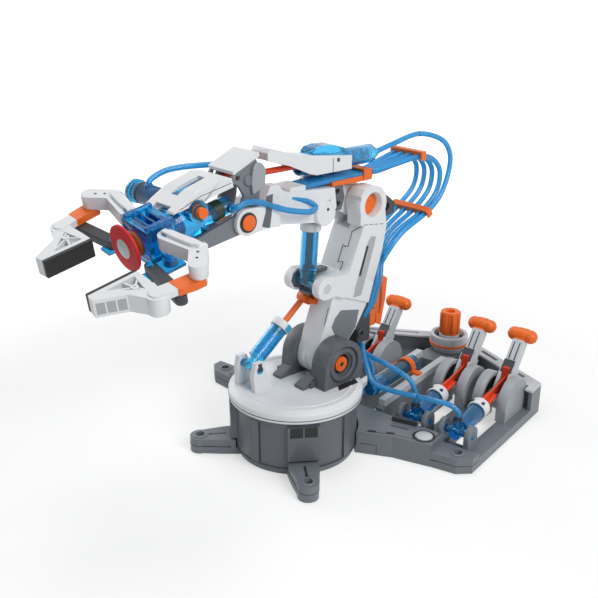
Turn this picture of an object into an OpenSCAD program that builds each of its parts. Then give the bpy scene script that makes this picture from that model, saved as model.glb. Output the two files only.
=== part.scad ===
// Syringe-driven desktop robot arm with a lever control deck.
// Frame: origin on the floor on the base axis, +Z up, +Y towards the levers, +X to the arm's near side.
// The arm is drawn in its own plane with points [forward, height], and forward is -Y before arm_yaw turns it.

/* [Base] */
// Radius of the ribbed drum
drum_r = 46.5; // [45:0.5:48]
// Height of the drum's top edge
drum_h = 43.6; // [40:0.2:46]
// Wall of the drum and of the hollow mouldings
wall = 2.8; // [2:0.1:3.2]
// Number of flat ribs round the drum
drum_ribs = 4; // [4:4:8]
// Radius of the screw holes in the feet
foot_hole_r = 3.2; // [2.5:0.1:4]
// Distance of the front feet's holes from the base axis
foot_hole_out = 72.5; // [70:0.5:76]
// Height of the front feet
foot_h = 12; // [10:0.5:15]
// Distance of the side wings' holes from the base axis, across
wing_hole_x = 114; // [112:0.5:118]
// Distance of the side wings' holes from the base axis, towards the deck
wing_hole_y = 45; // [43:0.5:47]

/* [Turntable] */
// Radius of the turntable's rim
turn_r = 50; // [49:0.5:54]
// Thickness of the turntable
turn_h = 9; // [8:0.2:11]
// Radius of the turntable's spigot in the drum
spigot_r = 18; // [14:0.5:22]

/* [Deck] */
// Centre line of the deck, across
deck_x = 28; // [26:0.5:30]
// Half width of the deck
deck_half = 99; // [98:0.5:102]
// Front edge of the deck's frame
deck_front = 52; // [51:0.5:53]
// Back edge of the deck's frame at its sides
deck_back = 161; // [158:0.5:166]
// How far the gabled back edge reaches at the centre line
deck_peak = 210; // [208:0.5:216]
// Height of the deck's walls
deck_h = 24; // [22:0.5:26]
// Width of the deck's bars
bar_w = 7; // [6:0.2:8]
// Distance of the outer lever lanes from the deck's sides
lane_edge = 22; // [21:0.5:24]
// Distance between neighbouring lever lanes
lane_pitch = 36; // [35:0.5:37]

/* [Levers] */
// Length of the control cylinders
barrel_l = 36; // [34:0.5:38]
// Distance from the control cylinders' ends to the lever pivots
lever_gap = 35; // [34:0.5:37]
// Height of the lever pivots
lever_z = 18; // [17:0.2:19]
// Radius of the half-round lever cheeks
cheek_r = 20; // [18:0.5:21]
// Length from a lever's pivot to its handle
lever_len = 55; // [48:0.5:60]
// Lean of the levers at rest, away from the arm
lever_lean = 39; // [36:1:42]
// Length of a T-handle
handle_len = 25; // [24:0.5:32]
// Radius of a T-handle
handle_r = 5.6; // [4:0.2:6]
// Length from a lever's pivot to its plunger pin
crank_len = 18; // [17:0.2:19]
// Upward slope of the control cylinders
barrel_slope = 7; // [6:0.5:8]

/* [Cylinders] */
// Outside radius of the syringe cylinders
barrel_r = 6.3; // [6.1:0.1:6.5]
// Inside radius of the syringe cylinders
bore_r = 5.2; // [5.1:0.1:5.3]
// Radius of the arm cylinders' rods
rod_r = 2.4; // [2:0.1:2.8]
// Outside radius of the hoses
hose_r = 2; // [1.6:0.1:2]

/* [Arm pose and pivots] */
// Turn of the arm at rest
arm_yaw = -10; // [-14:0.5:-6]
// Shoulder pivot, forward
sh_f = -23; // [-24:0.2:-22]
// Shoulder pivot, height above the turntable
sh_up = 15; // [14.5:0.1:15.5]
// Elbow pivot, forward
el_f = -64; // [-66:0.5:-62]
// Elbow pivot, height above the turntable
el_up = 126; // [124:0.5:128]
// Wrist pivot, forward
wr_f = 52; // [51:0.5:56]
// Wrist pivot, height above the turntable
wr_up = 135; // [134:0.5:136]
// Sideways offset of the forearm and hand
fore_x = -4; // [-4.5:0.1:-3.5]
// Sideways place of the shoulder cylinder
act_x = -15; // [-15.4:0.1:-14.6]

/* [Upper arm and forearm] */
// Radius of the elbow ring
elbow_r = 14; // [13:0.2:14.5]
// Radius of the shoulder cheeks
shoulder_r = 18.5; // [17:0.5:20]
// Half width of the forearm box
fore_half = 11; // [10:0.2:11.4]
// Radius of the arm's pivot pins
pin_r = 4; // [3.4:0.1:4.4]

/* [Hand] */
// Downward pitch of the hand at rest
hand_pitch = 12; // [10:0.5:14]
// Roll of the hand at rest, near side down
hand_roll = 10; // [0:1:14]
// Height of the roll axis above the wrist pivot
roll_h = 13; // [12.8:0.1:13.4]
// Half width of the wrist cradle
cradle_half = 13; // [12.8:0.1:13.4]
// Radius of the suction cup
cup_r = 15; // [12:0.5:15.4]
// Half of the gap between the open finger pads
grip_half = 22.5; // [21:0.5:23]
// Length of the finger pads
pad_len = 33; // [28:0.5:38]

/* [Hidden] */
$fn = 48;
run_gap = 0.4;
pin_gap = 0.05;
turn_z = drum_h + run_gap;
top_z = turn_z + turn_h;
lane_out = deck_half - lane_edge;
lane_in = lane_out - lane_pitch;
lane_x = [deck_x + lane_out, deck_x + lane_in, deck_x - lane_in, deck_x - lane_out];
fit_y = deck_front + 8;
lever_y = fit_y + barrel_l + lever_gap;

// Pivots in the arm's plane
S = [sh_f, top_z + sh_up];
E = [el_f, top_z + el_up];
W = [wr_f, top_z + wr_up];
C = [31, top_z + 17];
lug = S + [7, 58];
rod_eye = S + [1, 42];
boss = E + [44, 1];
wrist_eye = W + [-4, 26];
trunnion = E + [28, 34];

// Lengths along the cylinders, from the pivot at the fitting
shoulder_angle = atan2(rod_eye[1] - C[1], rod_eye[0] - C[0]);
shoulder_len = norm(rod_eye - C);
shoulder_end = shoulder_len - 25.4;
shoulder_rod_l = shoulder_len - 31;
shoulder_seat = 8;
elbow_angle = atan2(boss[1] - lug[1], boss[0] - lug[0]);
elbow_len = norm(boss - lug);
elbow_x = -5;
elbow_end = elbow_len - 9.15;
elbow_rod_l = elbow_len - 10.55;
wrist_angle = atan2(wrist_eye[1] - trunnion[1], wrist_eye[0] - trunnion[0]);
wrist_len = norm(wrist_eye - trunnion);
collar_l = 6;
neck_t = 2;
seat = 11;
stub_r = 3;

// Gripper points [sideways, forward] in the plane of the fingers
K = [20, 62];
G = [56, 67];
link_step = [0, 14];
H = [51, 93];
pad_t = 2.5;
finger_t = 12;

// Colours
white = "#eceef0";
pale = "#cfd3d6";
grey = "#8b9096";
dark = "#4b5058";
orange = "#ee6a1f";
blue = "#2c9fd8";
red = "#c8242a";
black = "#222326";

// Turns the arm about the base axis
module arm_frame() {
    rotate([0, 0, arm_yaw]) children();
}

// Extrudes a side view, drawn as [forward, height], from x0 to x1
module side(x0, x1) {
    rotate([90, 0, -90]) translate([0, 0, -x1]) linear_extrude(x1 - x0) children();
}

// A cylinder across the arm at a point of its plane
module across(p, x0, x1, r) {
    translate([x0, -p[0], p[1]]) rotate([0, 90, 0]) cylinder(h = x1 - x0, r = r);
}

// Puts +Z along a line of the arm's plane
module along(p, angle, x) {
    translate([x, -p[0], p[1]]) rotate([90 - angle, 0, 0]) children();
}

// A tube between two heights
module tube(z0, z1, outer, inner) {
    translate([0, 0, z0]) difference() {
        cylinder(h = z1 - z0, r = outer);
        translate([0, 0, -1]) cylinder(h = z1 - z0 + 2, r = inner);
    }
}

// A flat bar with round ends
module bar2d(p, q, w) {
    translate(p) rotate(atan2(q[1] - p[1], q[0] - p[0])) translate([0, -w / 2]) square([norm(q - p), w]);
    translate(p) circle(w / 2);
    translate(q) circle(w / 2);
}

// Hand frame: x sideways, -y forward, z up from the wrist pivot
module hand_frame() {
    arm_frame() translate([fore_x, -W[0], W[1]]) rotate([hand_pitch, 0, 0]) children();
}

// Roll frame: the same, with its origin on the roll axis
module roll_frame() {
    hand_frame() translate([0, 0, roll_h]) rotate([0, hand_roll, 0]) children();
}

// Extrudes a top view, drawn as [sideways, forward], in the roll frame
module plan(z0, z1) {
    translate([0, 0, z0]) linear_extrude(z1 - z0) mirror([0, 1]) children();
}

// Left or right copy of a gripper piece
module handed(far) {
    roll_frame() mirror([far ? 1 : 0, 0, 0]) children();
}

// Smooth route through hand-chosen points
function mix(p, i, t) = let (
    a = p[max(i - 1, 0)], b = p[i], c = p[i + 1], d = p[min(i + 2, len(p) - 1)])
    0.5 * (2 * b + (c - a) * t + (2 * a - 5 * b + 4 * c - d) * t * t + (3 * b - a - 3 * c + d) * t * t * t);
function route(p, n) = [for (i = [0 : len(p) - 2]) for (k = [0 : n - 1]) mix(p, i, k / n), p[len(p) - 1]];
function unit(v) = v / norm(v);
function heading(q, i) = unit(q[min(i + 1, len(q) - 1)] - q[max(i - 1, 0)]);
function flat(t) = let (u = abs(t[2]) > 0.9 ? [1, 0, 0] : [0, 0, 1]) unit(cross(u, t));

// A hose swept along a route
module hose(p, n = 2, sides = 8) {
    q = route(p, n);
    rings = len(q);
    points = [for (i = [0 : rings - 1]) let (t = heading(q, i), u = flat(t), v = cross(t, u))
        for (k = [0 : sides - 1]) q[i] + hose_r * (cos(360 * k / sides) * u + sin(360 * k / sides) * v)];
    walls = [for (i = [0 : rings - 2]) for (k = [0 : sides - 1]) let (m = (k + 1) % sides, a = i * sides)
        for (h = [0, 1]) h == 0 ? [a + k, a + sides + m, a + m] : [a + k, a + sides + k, a + sides + m]];
    first = [for (k = [1 : sides - 2]) [0, k, k + 1]];
    last = let (a = (rings - 1) * sides) [for (k = [1 : sides - 2]) [a, a + k + 1, a + k]];
    polyhedron(points, concat(walls, first, last));
}

// Drum with its bearing for the turntable
plinth_h = 6;
plinth_in = 4;
module base_drum() {
    color(dark) {
        difference() {
            union() {
                cylinder(h = plinth_h, r = drum_r - plinth_in);
                translate([0, 0, plinth_h]) cylinder(h = drum_h - plinth_h, r = drum_r);
                for (i = [0 : drum_ribs - 1]) rotate([0, 0, 360 * i / drum_ribs])
                    translate([drum_r - 1, -rib_w / 2, plinth_h + 1])
                        cube([1 + rib_out, rib_w, drum_h - plinth_h - rib_top]);
                for (a = foot_turns) rotate([0, 0, a]) drum_socket();
            }
            difference() {
                translate([0, 0, wall]) cylinder(h = drum_h, r = drum_r - plinth_in - wall);
                cylinder(h = drum_h, r = spigot_r + wall);
            }
            translate([0, 0, wall]) cylinder(h = drum_h, r = spigot_r + pin_gap);
        }
    }
}

// Socket block on the drum above a front foot, with two pockets, drawn along +X
socket_w = 23;
socket_out = 3;
socket_up = 2;
pocket = [2.2, 7.5, 6];
pocket_x = 6;
module drum_socket() {
    socket_top = drum_h - rib_top + 1.4;
    difference() {
        translate([drum_r - socket_out, -socket_w / 2, foot_h + socket_up])
            cube([2 * socket_out, socket_w, socket_top - foot_h - socket_up]);
        for (d = [-1, 1])
            translate([drum_r + socket_out - pocket[0], d * pocket_x - pocket[1] / 2, socket_top - pocket[2] - 2])
                cube([pocket[0] + 1, pocket[1], pocket[2]]);
    }
}

// Front foot, drawn along +X
foot_end = 7;
foot_turns = [-45, -135];
module front_foot() {
    difference() {
        linear_extrude(foot_h) {
            polygon([[drum_r - 6, -foot_end - 5], [drum_r + 10, -foot_end - 3], [foot_hole_out, -foot_end],
                [foot_hole_out, foot_end], [drum_r + 10, foot_end + 3], [drum_r - 6, foot_end + 5]]);
            translate([foot_hole_out, 0]) circle(foot_end + 0.6);
        }
        translate([foot_hole_out, 0, -1]) cylinder(h = foot_h + 2, r = foot_hole_r);
        drum_space();
    }
}

// Room kept round the drum and its ribs, above the ring that joins the feet
rib_out = 1;
rib_w = 7;
rib_top = 4;
module drum_space() {
    translate([0, 0, plinth_h - run_gap]) cylinder(h = drum_h, r = drum_r + rib_out + pin_gap);
    translate([0, 0, -1]) cylinder(h = drum_h, r = drum_r - plinth_in + pin_gap);
}

// Side wing, drawn on +X from the ring under the drum
function polar(r, a) = [r * cos(a), r * sin(a)];
wing_h = 18;
module side_wing() {
    difference() {
        union() {
            linear_extrude(wing_h) polygon([polar(drum_r - 3.1, 38.5), polar(drum_r + 0.3, 20), [70, 27],
                [wing_hole_x - 16, 33], [wing_hole_x - 16, deck_front + 1], [20, deck_front + 1],
                polar(drum_r - 3.6, 62)]);
            linear_extrude(foot_h) {
                polygon([[wing_hole_x - 18, 33], [wing_hole_x + 4, wing_hole_y - 9],
                    [deck_x + deck_half, wing_hole_y - 1], [deck_x + deck_half, deck_front + 1],
                    [wing_hole_x - 18, deck_front + 1]]);
                translate([wing_hole_x, wing_hole_y]) circle(foot_end);
            }
        }
        translate([wing_hole_x, wing_hole_y, -1]) cylinder(h = wing_h + 2, r = foot_hole_r);
        drum_space();
    }
}

// Outline of the deck, drawn in by a margin
module deck_outline(inset) {
    x0 = deck_x - deck_half + inset;
    x1 = deck_x + deck_half - inset;
    polygon([[x0, deck_front + inset], [x1, deck_front + inset], [x1, deck_back - inset / 2],
        [deck_x, deck_peak - inset], [x0, deck_back - inset / 2]]);
}

// Frame of the deck with its feet, bars and the lugs that carry the control cylinders
bar_h = 8;
lug_r = 7.5;
lug_t = 4;
fit_z = 20;
fit_half = 9;
mid_bar_h = 20;
module base_frame() {
    color(grey) {
        tube(0, plinth_h - 1.4, drum_r - 2, drum_r - plinth_in + pin_gap);
        for (a = foot_turns) rotate([0, 0, a]) front_foot();
        for (m = [0, 1]) mirror([m, 0, 0]) side_wing();
        difference() {
            union() {
                linear_extrude(bar_h) difference() {
                    deck_outline(0);
                    deck_outline(bar_w + 4);
                }
                linear_extrude(deck_h) intersection() {
                    difference() {
                        deck_outline(0);
                        deck_outline(wall);
                    }
                    translate([-500, deck_back - rail_back]) square([1000, 500]);
                }
                for (x = lane_x) {
                    for (d = [-1, 1]) {
                        translate([x + d * (fit_half + lug_t / 2) - lug_t / 2, fit_y, 0]) {
                            translate([0, -lug_r, 0]) cube([lug_t, 2 * lug_r, fit_z]);
                            translate([0, 0, fit_z]) rotate([0, 90, 0]) cylinder(h = lug_t, r = lug_r);
                        }
                        translate([x + d * 12 - 4, deck_front + 2, 0])
                            cube([8, lever_y - deck_front + 4, bar_h]);
                    }
                }
                for (d = [-1, 1]) translate([deck_x + d * 12 - 3, deck_front + 2, 0])
                    cube([6, deck_back - deck_front + 12, mid_bar_h]);
                translate([deck_x - 14, deck_back - 6, 0]) cube([28, 40, mid_bar_h]);
            }
            for (x = lane_x) translate([x - 20, fit_y, fit_z]) rotate([0, 90, 0])
                cylinder(h = 40, r = stub_r + pin_gap);
            translate([deck_x, knob_y, -1]) cylinder(h = deck_h + 2, r = shaft_r + pin_gap);
        }
    }
}

// Pale rails on the deck's back walls and middle bars
rail_t = 2;
rail_w = 13;
rail_back = 18;
mid_rail_t = 6;
module deck_rails() {
    color(pale) difference() {
        union() {
            translate([0, 0, deck_h]) linear_extrude(rail_t) intersection() {
                difference() {
                    deck_outline(0);
                    deck_outline(rail_w);
                }
                translate([-500, deck_back - rail_back]) square([1000, 500]);
            }
            for (d = [-1, 1]) translate([deck_x + d * 12 - 3, deck_front + 6, mid_bar_h])
                cube([6, deck_back - deck_front - 10, mid_rail_t]);
        }
        for (d = [-1, 1]) for (s = [0.42, 0.74])
            translate([deck_x + d * s * deck_half, deck_back + (deck_peak - deck_back) * (1 - s) - 6, deck_h - 1])
                rotate([0, 0, -d * atan2(deck_peak - deck_back, deck_half)])
                    translate([-11, -1.5, 0]) cube([22, 3, rail_t + 2]);
        translate([deck_x, knob_y, deck_h - 1]) cylinder(h = rail_t + 2, r = disc_r + run_gap);
        cheek_space();
    }
    knob_housing();
}

// Room kept round the lever cheeks
cheek_in = 6.5;
cheek_t = 8;
module cheek_space() {
    for (x = lane_x) translate([x - cheek_in - cheek_t - 1, lever_y, lever_z]) rotate([0, 90, 0])
        cylinder(h = 2 * (cheek_in + cheek_t + 1), r = cheek_r + 1);
}

// Half-round cheeks that carry the levers
module lever_cheeks() {
    color(grey) for (x = lane_x) for (d = [0, 1]) translate([x, 0, 0]) mirror([d, 0, 0]) difference() {
        intersection() {
            union() {
                translate([cheek_in, lever_y, lever_z]) rotate([0, 90, 0]) cylinder(h = cheek_t, r = cheek_r);
                translate([cheek_in, lever_y - cheek_r, 0]) cube([cheek_t, 2 * cheek_r, lever_z]);
            }
            translate([-50, 0, bar_h]) cube([100, 300, 100]);
        }
        translate([0, lever_y, lever_z]) rotate([0, 90, 0])
            cylinder(h = cheek_in + cheek_t - 3, r = stub_r + pin_gap);
        translate([cheek_in - 1, lever_y, lever_z]) rotate([0, 90, 0]) difference() {
            cylinder(h = 3, r = cheek_r - 3);
            cylinder(h = 3, r = stub_r + 3);
        }
    }
}

// Knob with its round housing on the deck
disc_r = 16.5;
disc_h = 11;
knob_y = 187;
knob_r = 8;
knob_h = 20.5;
disc_recess = 5;
knob_gap = 0.3;
shaft_r = 3;
module knob_housing() {
    color(pale) translate([deck_x, knob_y, 0]) difference() {
        union() {
            translate([0, 0, mid_bar_h]) cylinder(h = deck_h - mid_bar_h + 1, r = disc_r - 3);
            translate([0, 0, deck_h]) cylinder(h = disc_h, r = disc_r);
        }
        translate([0, 0, mid_bar_h - 2]) cylinder(h = disc_h + deck_h, r = shaft_r + pin_gap);
        translate([0, 0, deck_h + disc_h - disc_recess]) difference() {
            cylinder(h = disc_recess + 1, r = disc_r - 3);
            translate([0, 0, -1]) cylinder(h = disc_recess + 3, r = knob_r + 1);
        }
    }
}

module knob() {
    color(orange) translate([deck_x, knob_y, 0]) {
        difference() {
            translate([0, 0, deck_h + disc_h + knob_gap]) {
                cylinder(h = knob_h, r = knob_r);
                for (i = [0 : 7]) rotate([0, 0, 45 * i]) translate([knob_r, 0, 1]) cylinder(h = knob_h - 2, r = 1.4);
            }
            translate([0, 0, deck_h + disc_h + knob_h - 6]) cylinder(h = 10, r = 4);
        }
        translate([0, 0, mid_bar_h - 8]) cylinder(h = deck_h + disc_h + 10 - mid_bar_h, r = shaft_r);
    }
}

// Control cylinders with their elbow fittings, and the one behind the knob
fit_h = 10;
mid_z = mid_bar_h + rail_t + 8;
module control_barrels() {
    color(blue) {
        for (x = lane_x) translate([x, fit_y, fit_z]) {
            translate([-fit_half - lug_t, 0, 0]) rotate([0, 90, 0])
                cylinder(h = 2 * (fit_half + lug_t), r = stub_r);
            rotate([barrel_slope - 90, 0, 0]) {
                translate([0, 0, -5]) cylinder(h = seat, r = 4.5);
                tube(5, barrel_l, barrel_r, bore_r);
                translate([0, 0, 5]) cylinder(h = 1.5, r = barrel_r);
            }
            cylinder(h = fit_h, r = 3.4);
        }
        translate([deck_x, fit_y + 4, mid_z]) {
            rotate([-90, 0, 0]) cylinder(h = 60, r = barrel_r);
            rotate([-90, 0, 0]) translate([0, 0, -6]) cylinder(h = 7, r = 4.5);
            translate([0, -3, 0]) cylinder(h = fit_h, r = 3.4);
        }
    }
}

// White collars on the lever cylinders
collar_r = 7.8;
collar_lip = 0.5;
module barrel_collars() {
    color(white) for (x = lane_x) translate([x, fit_y, fit_z]) rotate([barrel_slope - 90, 0, 0]) {
        tube(barrel_l - 6, barrel_l + 1, collar_r, barrel_r + pin_gap);
        tube(barrel_l + 1, barrel_l + 2.5, collar_r, bore_r - collar_lip);
    }
}

// Saddle clip over the knob's cylinder
module barrel_clip() {
    color(orange) translate([deck_x, fit_y + 56, mid_z]) rotate([90, 0, 0]) difference() {
        union() {
            cylinder(h = 6, r = barrel_r + 1.5);
            translate([-14, mid_bar_h + mid_rail_t - mid_z, 0]) cube([28, 2, 6]);
        }
        translate([0, 0, -1]) cylinder(h = 8, r = barrel_r + pin_gap);
        translate([-barrel_r, -30, -1]) cube([2 * barrel_r, 30, 8]);
    }
}

// Lever frame: origin on the pivot, z along the lever
module lever_frame(i) {
    translate([lane_x[i], lever_y, lever_z]) rotate([-lever_lean, 0, 0]) children();
}

lever_half = 5.6;
slot_half = 3.2;
module lever(i) {
    color(pale) lever_frame(i) {
        difference() {
            union() {
                translate([-lever_half, 0, 0]) rotate([0, 90, 0]) cylinder(h = 2 * lever_half, r = 9);
                translate([-lever_half, -7, 0]) cube([2 * lever_half, 13, crank_len + 8]);
                translate([-lever_half + 0.8, -5, crank_len + 6])
                    cube([2 * lever_half - 1.6, 9.5, lever_len - handle_r - crank_len - 6]);
            }
            rotate([lever_lean, 0, 0]) translate([-slot_half, -40, 0.5]) cube([2 * slot_half, 80, 26.5]);
        }
        translate([-cheek_in - cheek_t + 3.5, 0, 0]) rotate([0, 90, 0])
            cylinder(h = 2 * (cheek_in + cheek_t - 3.5), r = stub_r);
        translate([-lever_half, 0, crank_len]) rotate([0, 90, 0]) cylinder(h = 2 * lever_half, r = yoke_pin_r);
    }
}

module handle(i) {
    color(orange) lever_frame(i) translate([0, 0, lever_len]) {
        translate([-handle_len / 2 + handle_r, 0, 0]) rotate([0, 90, 0])
            cylinder(h = handle_len - 2 * handle_r, r = handle_r);
        for (d = [-1, 1]) translate([d * (handle_len / 2 - handle_r), 0, 0]) sphere(handle_r);
        translate([-4, -4.5, -handle_r]) cube([8, 8.5, handle_r]);
    }
}

// Plunger of a lever cylinder, with an upright slot round the lever's pin
piston_gap = 0.3;
piston_at = 28;
blade_end = 13;
yoke_l = 9;
yoke_z = [-7.5, 10];
slot_z = [-5.8, 8];
blade = 1.4;
blade_half = 4.3;
pin_slack = 0.9;
yoke_pin_r = 1.6;
module plunger(i) {
    pin_y = lever_y + crank_len * sin(lever_lean) - fit_y;
    pin_z = lever_z + crank_len * cos(lever_lean) - fit_z;
    reach = pin_y / cos(barrel_slope);
    color(red) translate([lane_x[i], fit_y, fit_z]) {
        rotate([barrel_slope - 90, 0, 0]) {
            translate([0, 0, piston_at]) {
                cylinder(h = 3, r = bore_r - piston_gap);
                translate([-blade / 2, -blade_half, 2]) cube([blade, 2 * blade_half, reach - piston_at - 6]);
                translate([-blade_half, -blade / 2, 2])
                    cube([2 * blade_half, blade, barrel_l + lever_gap - blade_end - piston_at - 2]);
            }
        }
        difference() {
            translate([-slot_half + 0.6, pin_y - yoke_l / 2, pin_z + yoke_z[0]])
                cube([2 * slot_half - 1.2, yoke_l, yoke_z[1] - yoke_z[0]]);
            translate([-slot_half, pin_y - yoke_pin_r - pin_slack, pin_z + slot_z[0]])
                cube([2 * slot_half, 2 * (yoke_pin_r + pin_slack), slot_z[1] - slot_z[0]]);
        }
    }
}

// Turntable with its spigot and the clevis of the shoulder cylinder
clevis_in = 7.6;
clevis_t = 4;
rim_h = 6;
module turntable() {
    color(white) {
        rotate_extrude($fn = 96) polygon([[0, turn_z], [turn_r, turn_z], [turn_r, turn_z + rim_h],
            [turn_r - 4, top_z], [0, top_z]]);
        translate([0, 0, wall + 2]) cylinder(h = turn_z - wall - 1, r = spigot_r);
        arm_frame() for (d = [0, 1]) translate([act_x, 0, 0]) mirror([d, 0, 0]) difference() {
            side(clevis_in, clevis_in + clevis_t) polygon([[C[0] + 5, top_z - 1], [C[0] + 6, top_z + 13],
                [C[0] + 4, C[1] + 6], [C[0] - 3, C[1] + 6], [C[0] - 7, top_z + 12], [C[0] - 12, top_z - 1]]);
            across(C, 0, 20, stub_r + pin_gap);
        }
    }
}

// Pillow-block cheeks of the shoulder
near_in = 12.8;
near_out = 28;
far_in = -8.6;
far_out = -20;
module shoulder_cheek(x0, x1, open) {
    difference() {
        intersection() {
            union() {
                across(S, x0, x1, shoulder_r);
                side(x0, x1) polygon([[S[0] + shoulder_r + 1.5, top_z], S + [shoulder_r - 0.2, 3],
                    S + [0.2 - shoulder_r, 3], [S[0] - shoulder_r - 1.5, top_z]]);
                side(x0, x0 + 5) polygon([[S[0] + 24, top_z], [S[0] + 24, top_z + 5], [S[0] - 24, top_z + 5],
                    [S[0] - 24, top_z]]);
            }
            translate([-100, -100, top_z]) cube(200);
        }
        across(S, x0 - 1, x1 + 1, pin_r + pin_gap);
        if (open) {
            across(S, x1 - 2.5, x1 + 1, shoulder_r - 4);
            across(S, x1 - 7, x1 + 1, pin_r + 4);
        }
    }
}

module shoulder_cheeks() {
    color(dark) arm_frame() {
        shoulder_cheek(near_in, near_out, true);
        shoulder_cheek(far_out, far_in, false);
    }
}

module shoulder_pin() {
    color(orange) arm_frame() {
        across(S, far_out + 1, near_out - 4, pin_r);
        across(S, near_out - 7, near_out - 3, pin_r + 1.6);
    }
}

// Shoulder cylinder
module shoulder_barrel() {
    color(blue) arm_frame() {
        across(C, act_x - clevis_in - clevis_t, act_x + clevis_in + clevis_t, stub_r);
        along(C, shoulder_angle, act_x) {
            cylinder(h = shoulder_seat, r = 4.3);
            translate([0, 0, shoulder_seat - 1]) cylinder(h = 2, r = barrel_r);
            tube(shoulder_seat, shoulder_end - neck_t, barrel_r, bore_r);
        }
    }
}

module collar(end) {
    tube(end - collar_l, end - neck_t, barrel_r + 1.4, barrel_r + pin_gap);
    tube(end - neck_t, end, barrel_r + 1.4, rod_r + 2.2);
}

module shoulder_collar() {
    color(white) arm_frame() along(C, shoulder_angle, act_x) collar(shoulder_end);
}

eye_r = 4.5;
arm_far = -8.2;
arm_near = 12.4;
piston_t = 1.4;
piston_slack = 1.9;
module shoulder_rod() {
    color(orange) arm_frame() {
        along(C, shoulder_angle, act_x) {
            translate([0, 0, shoulder_len - shoulder_rod_l]) {
                cylinder(h = shoulder_rod_l, r = rod_r);
                cylinder(h = piston_t, r = bore_r - piston_slack);
            }
        }
        across(rod_eye, act_x - 3.5, arm_far - 0.4, eye_r);
        across(rod_eye, act_x, arm_far + 6, 2.5);
    }
}

// Upper arm: a narrow column below and a wider box above, in two halves
wide = 14;
lug_in = 9;
lug_out = 16;
far_lug = [-21, -14];
U = lug + [-10, -8];
B = S + [-39, 35];
module column_2d() {
    difference() {
        union() {
            translate(S) circle(14);
            polygon([S + [13, 5], S + [8, 20], S + [0, 40], U, B, S + [-27, 17], S + [-14, 4]]);
        }
        polygon([S + [-8, 20], S + [-12, 35], S + [-29, 30], S + [-20, 20]]);
    }
}

module box_2d() {
    translate(E) circle(elbow_r);
    polygon([E + [0, elbow_r], E + [9, 13], E + [13, 8], E + [13, -elbow_r], E + [0, -elbow_r]]);
    polygon([U, lug + [-24, 6], E + [9.5, -14], E + [elbow_r * 0.86, -elbow_r * 0.5],
        E + [-elbow_r * 0.9, -4], E + [-15, -18], E + [-11, -37], E + [-3, -60], B]);
}

module lug_2d() {
    translate(lug) circle(8.5);
    polygon([lug + [0, 8.5], lug + [-24, 6], U + [-8, -4], U, lug + [-2, -8.2]]);
}

near_recess = 9;
module upper_arm_near() {
    color(white) arm_frame() difference() {
        union() {
            side(0, arm_near) column_2d();
            side(0, wide) box_2d();
            side(lug_in, lug_out) lug_2d();
            across(E, tongue_near + run_gap, 0, 12);
        }
        across(S, -1, arm_near + 1, pin_r + pin_gap);
        across(E, tongue_near, wide + 1, pin_r + pin_gap);
        across(E, wide - near_recess, wide + 1, elbow_r - 5);
        across(lug, 0, lug_out + 1, 3.5 + pin_gap);
        side(wall, wide - wall) polygon([U + [-6, 0], lug + [-25, 0], E + [6, -19], E + [-11, -19],
            E + [-7, -37], E + [0, -58], B + [6, 5]]);
    }
}

module upper_arm_far() {
    color(white) arm_frame() difference() {
        union() {
            side(arm_far, 0) column_2d();
            side(-wide - 2, 0) box_2d();
            side(far_lug[0], far_lug[1]) lug_2d();
        }
        across(S, arm_far - 1, 1, pin_r + pin_gap);
        across(E, -wide - 4, 1, pin_r + pin_gap);
        across(lug, far_lug[0] - 1, 0, 3.5 + pin_gap);
        across(rod_eye, arm_far - 1, arm_far + 6.5, 2.5 + pin_gap);
        side(tongue_far - run_gap, 1) {
            translate(E) circle(elbow_r + 0.8);
            polygon([E + [-6, -elbow_r - 0.8], E + [40, -24], E + [40, 40], E + [-elbow_r - 0.8, 40],
                E + [-elbow_r - 0.8, 0]]);
        }
        side(-wide, -wall) polygon([U + [-6, 0], lug + [-25, 0], E + [6, -19], E + [-11, -19],
            E + [-7, -37], E + [0, -58], B + [6, 5]]);
    }
}

// Dark guides behind the arm that lead the hoses
module hose_guides() {
    color(dark) arm_frame() difference() {
        union() {
            side(1, arm_near) polygon([B + [-0.3, -0.3], S + [-27.4, 16.8], S + [-30, 3], S + [-43, 3],
                S + [-43, 27]]);
            side(-4, 9) polygon([E + [-15.2, -14], E + [-14.3, 1], E + [-13, 8], E + [-29, -4], E + [-28, -12]]);
        }
        across(E + [-19.5, -6], -5, 10, 3);
    }
}

module hose_bracket() {
    color(orange) arm_frame() difference() {
        side(2, 11) polygon([S + [-43.05, 13], S + [-43.05, 27], E + [-4.2, -57.5], E + [-11.2, -57.5],
            S + [-50, 13]]);
        side(5, 12) polygon([S + [-45.5, 26.5], E + [-6, -65], E + [-9, -65], S + [-48.5, 26.5]]);
    }
}

// Elbow pin with its round head in the near recess
module elbow_pin() {
    color(orange) arm_frame() {
        across(E, -wide - 2, wide - near_recess + 3, pin_r);
        across(E, wide - near_recess, wide - near_recess + 3, elbow_r - 6);
    }
}

// Elbow cylinder between the lugs and the forearm
module elbow_barrel() {
    color(blue) arm_frame() {
        across(lug, far_lug[0] + 0.5, lug_out - 0.5, 3.5);
        along(lug, elbow_angle, elbow_x) {
            cylinder(h = seat - 1, r = 5.5);
            translate([0, 0, seat - 3]) cylinder(h = 2, r = barrel_r);
            tube(seat - 2, elbow_end - neck_t, barrel_r, bore_r);
        }
    }
}

module elbow_collar() {
    color(grey) arm_frame() along(lug, elbow_angle, elbow_x) collar(elbow_end);
}

module elbow_rod() {
    color("#1f4a2c") arm_frame() {
        along(lug, elbow_angle, elbow_x) {
            translate([0, 0, elbow_len - elbow_rod_l]) {
                cylinder(h = elbow_rod_l, r = rod_r);
                cylinder(h = piston_t, r = bore_r - piston_slack);
            }
        }
        across(boss, elbow_x - 4, elbow_x + 4, eye_r - 0.5);
        across(boss, fore_x - fore_half + 1, fore_x + fore_half - 1, 2.5);
    }
}

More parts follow.
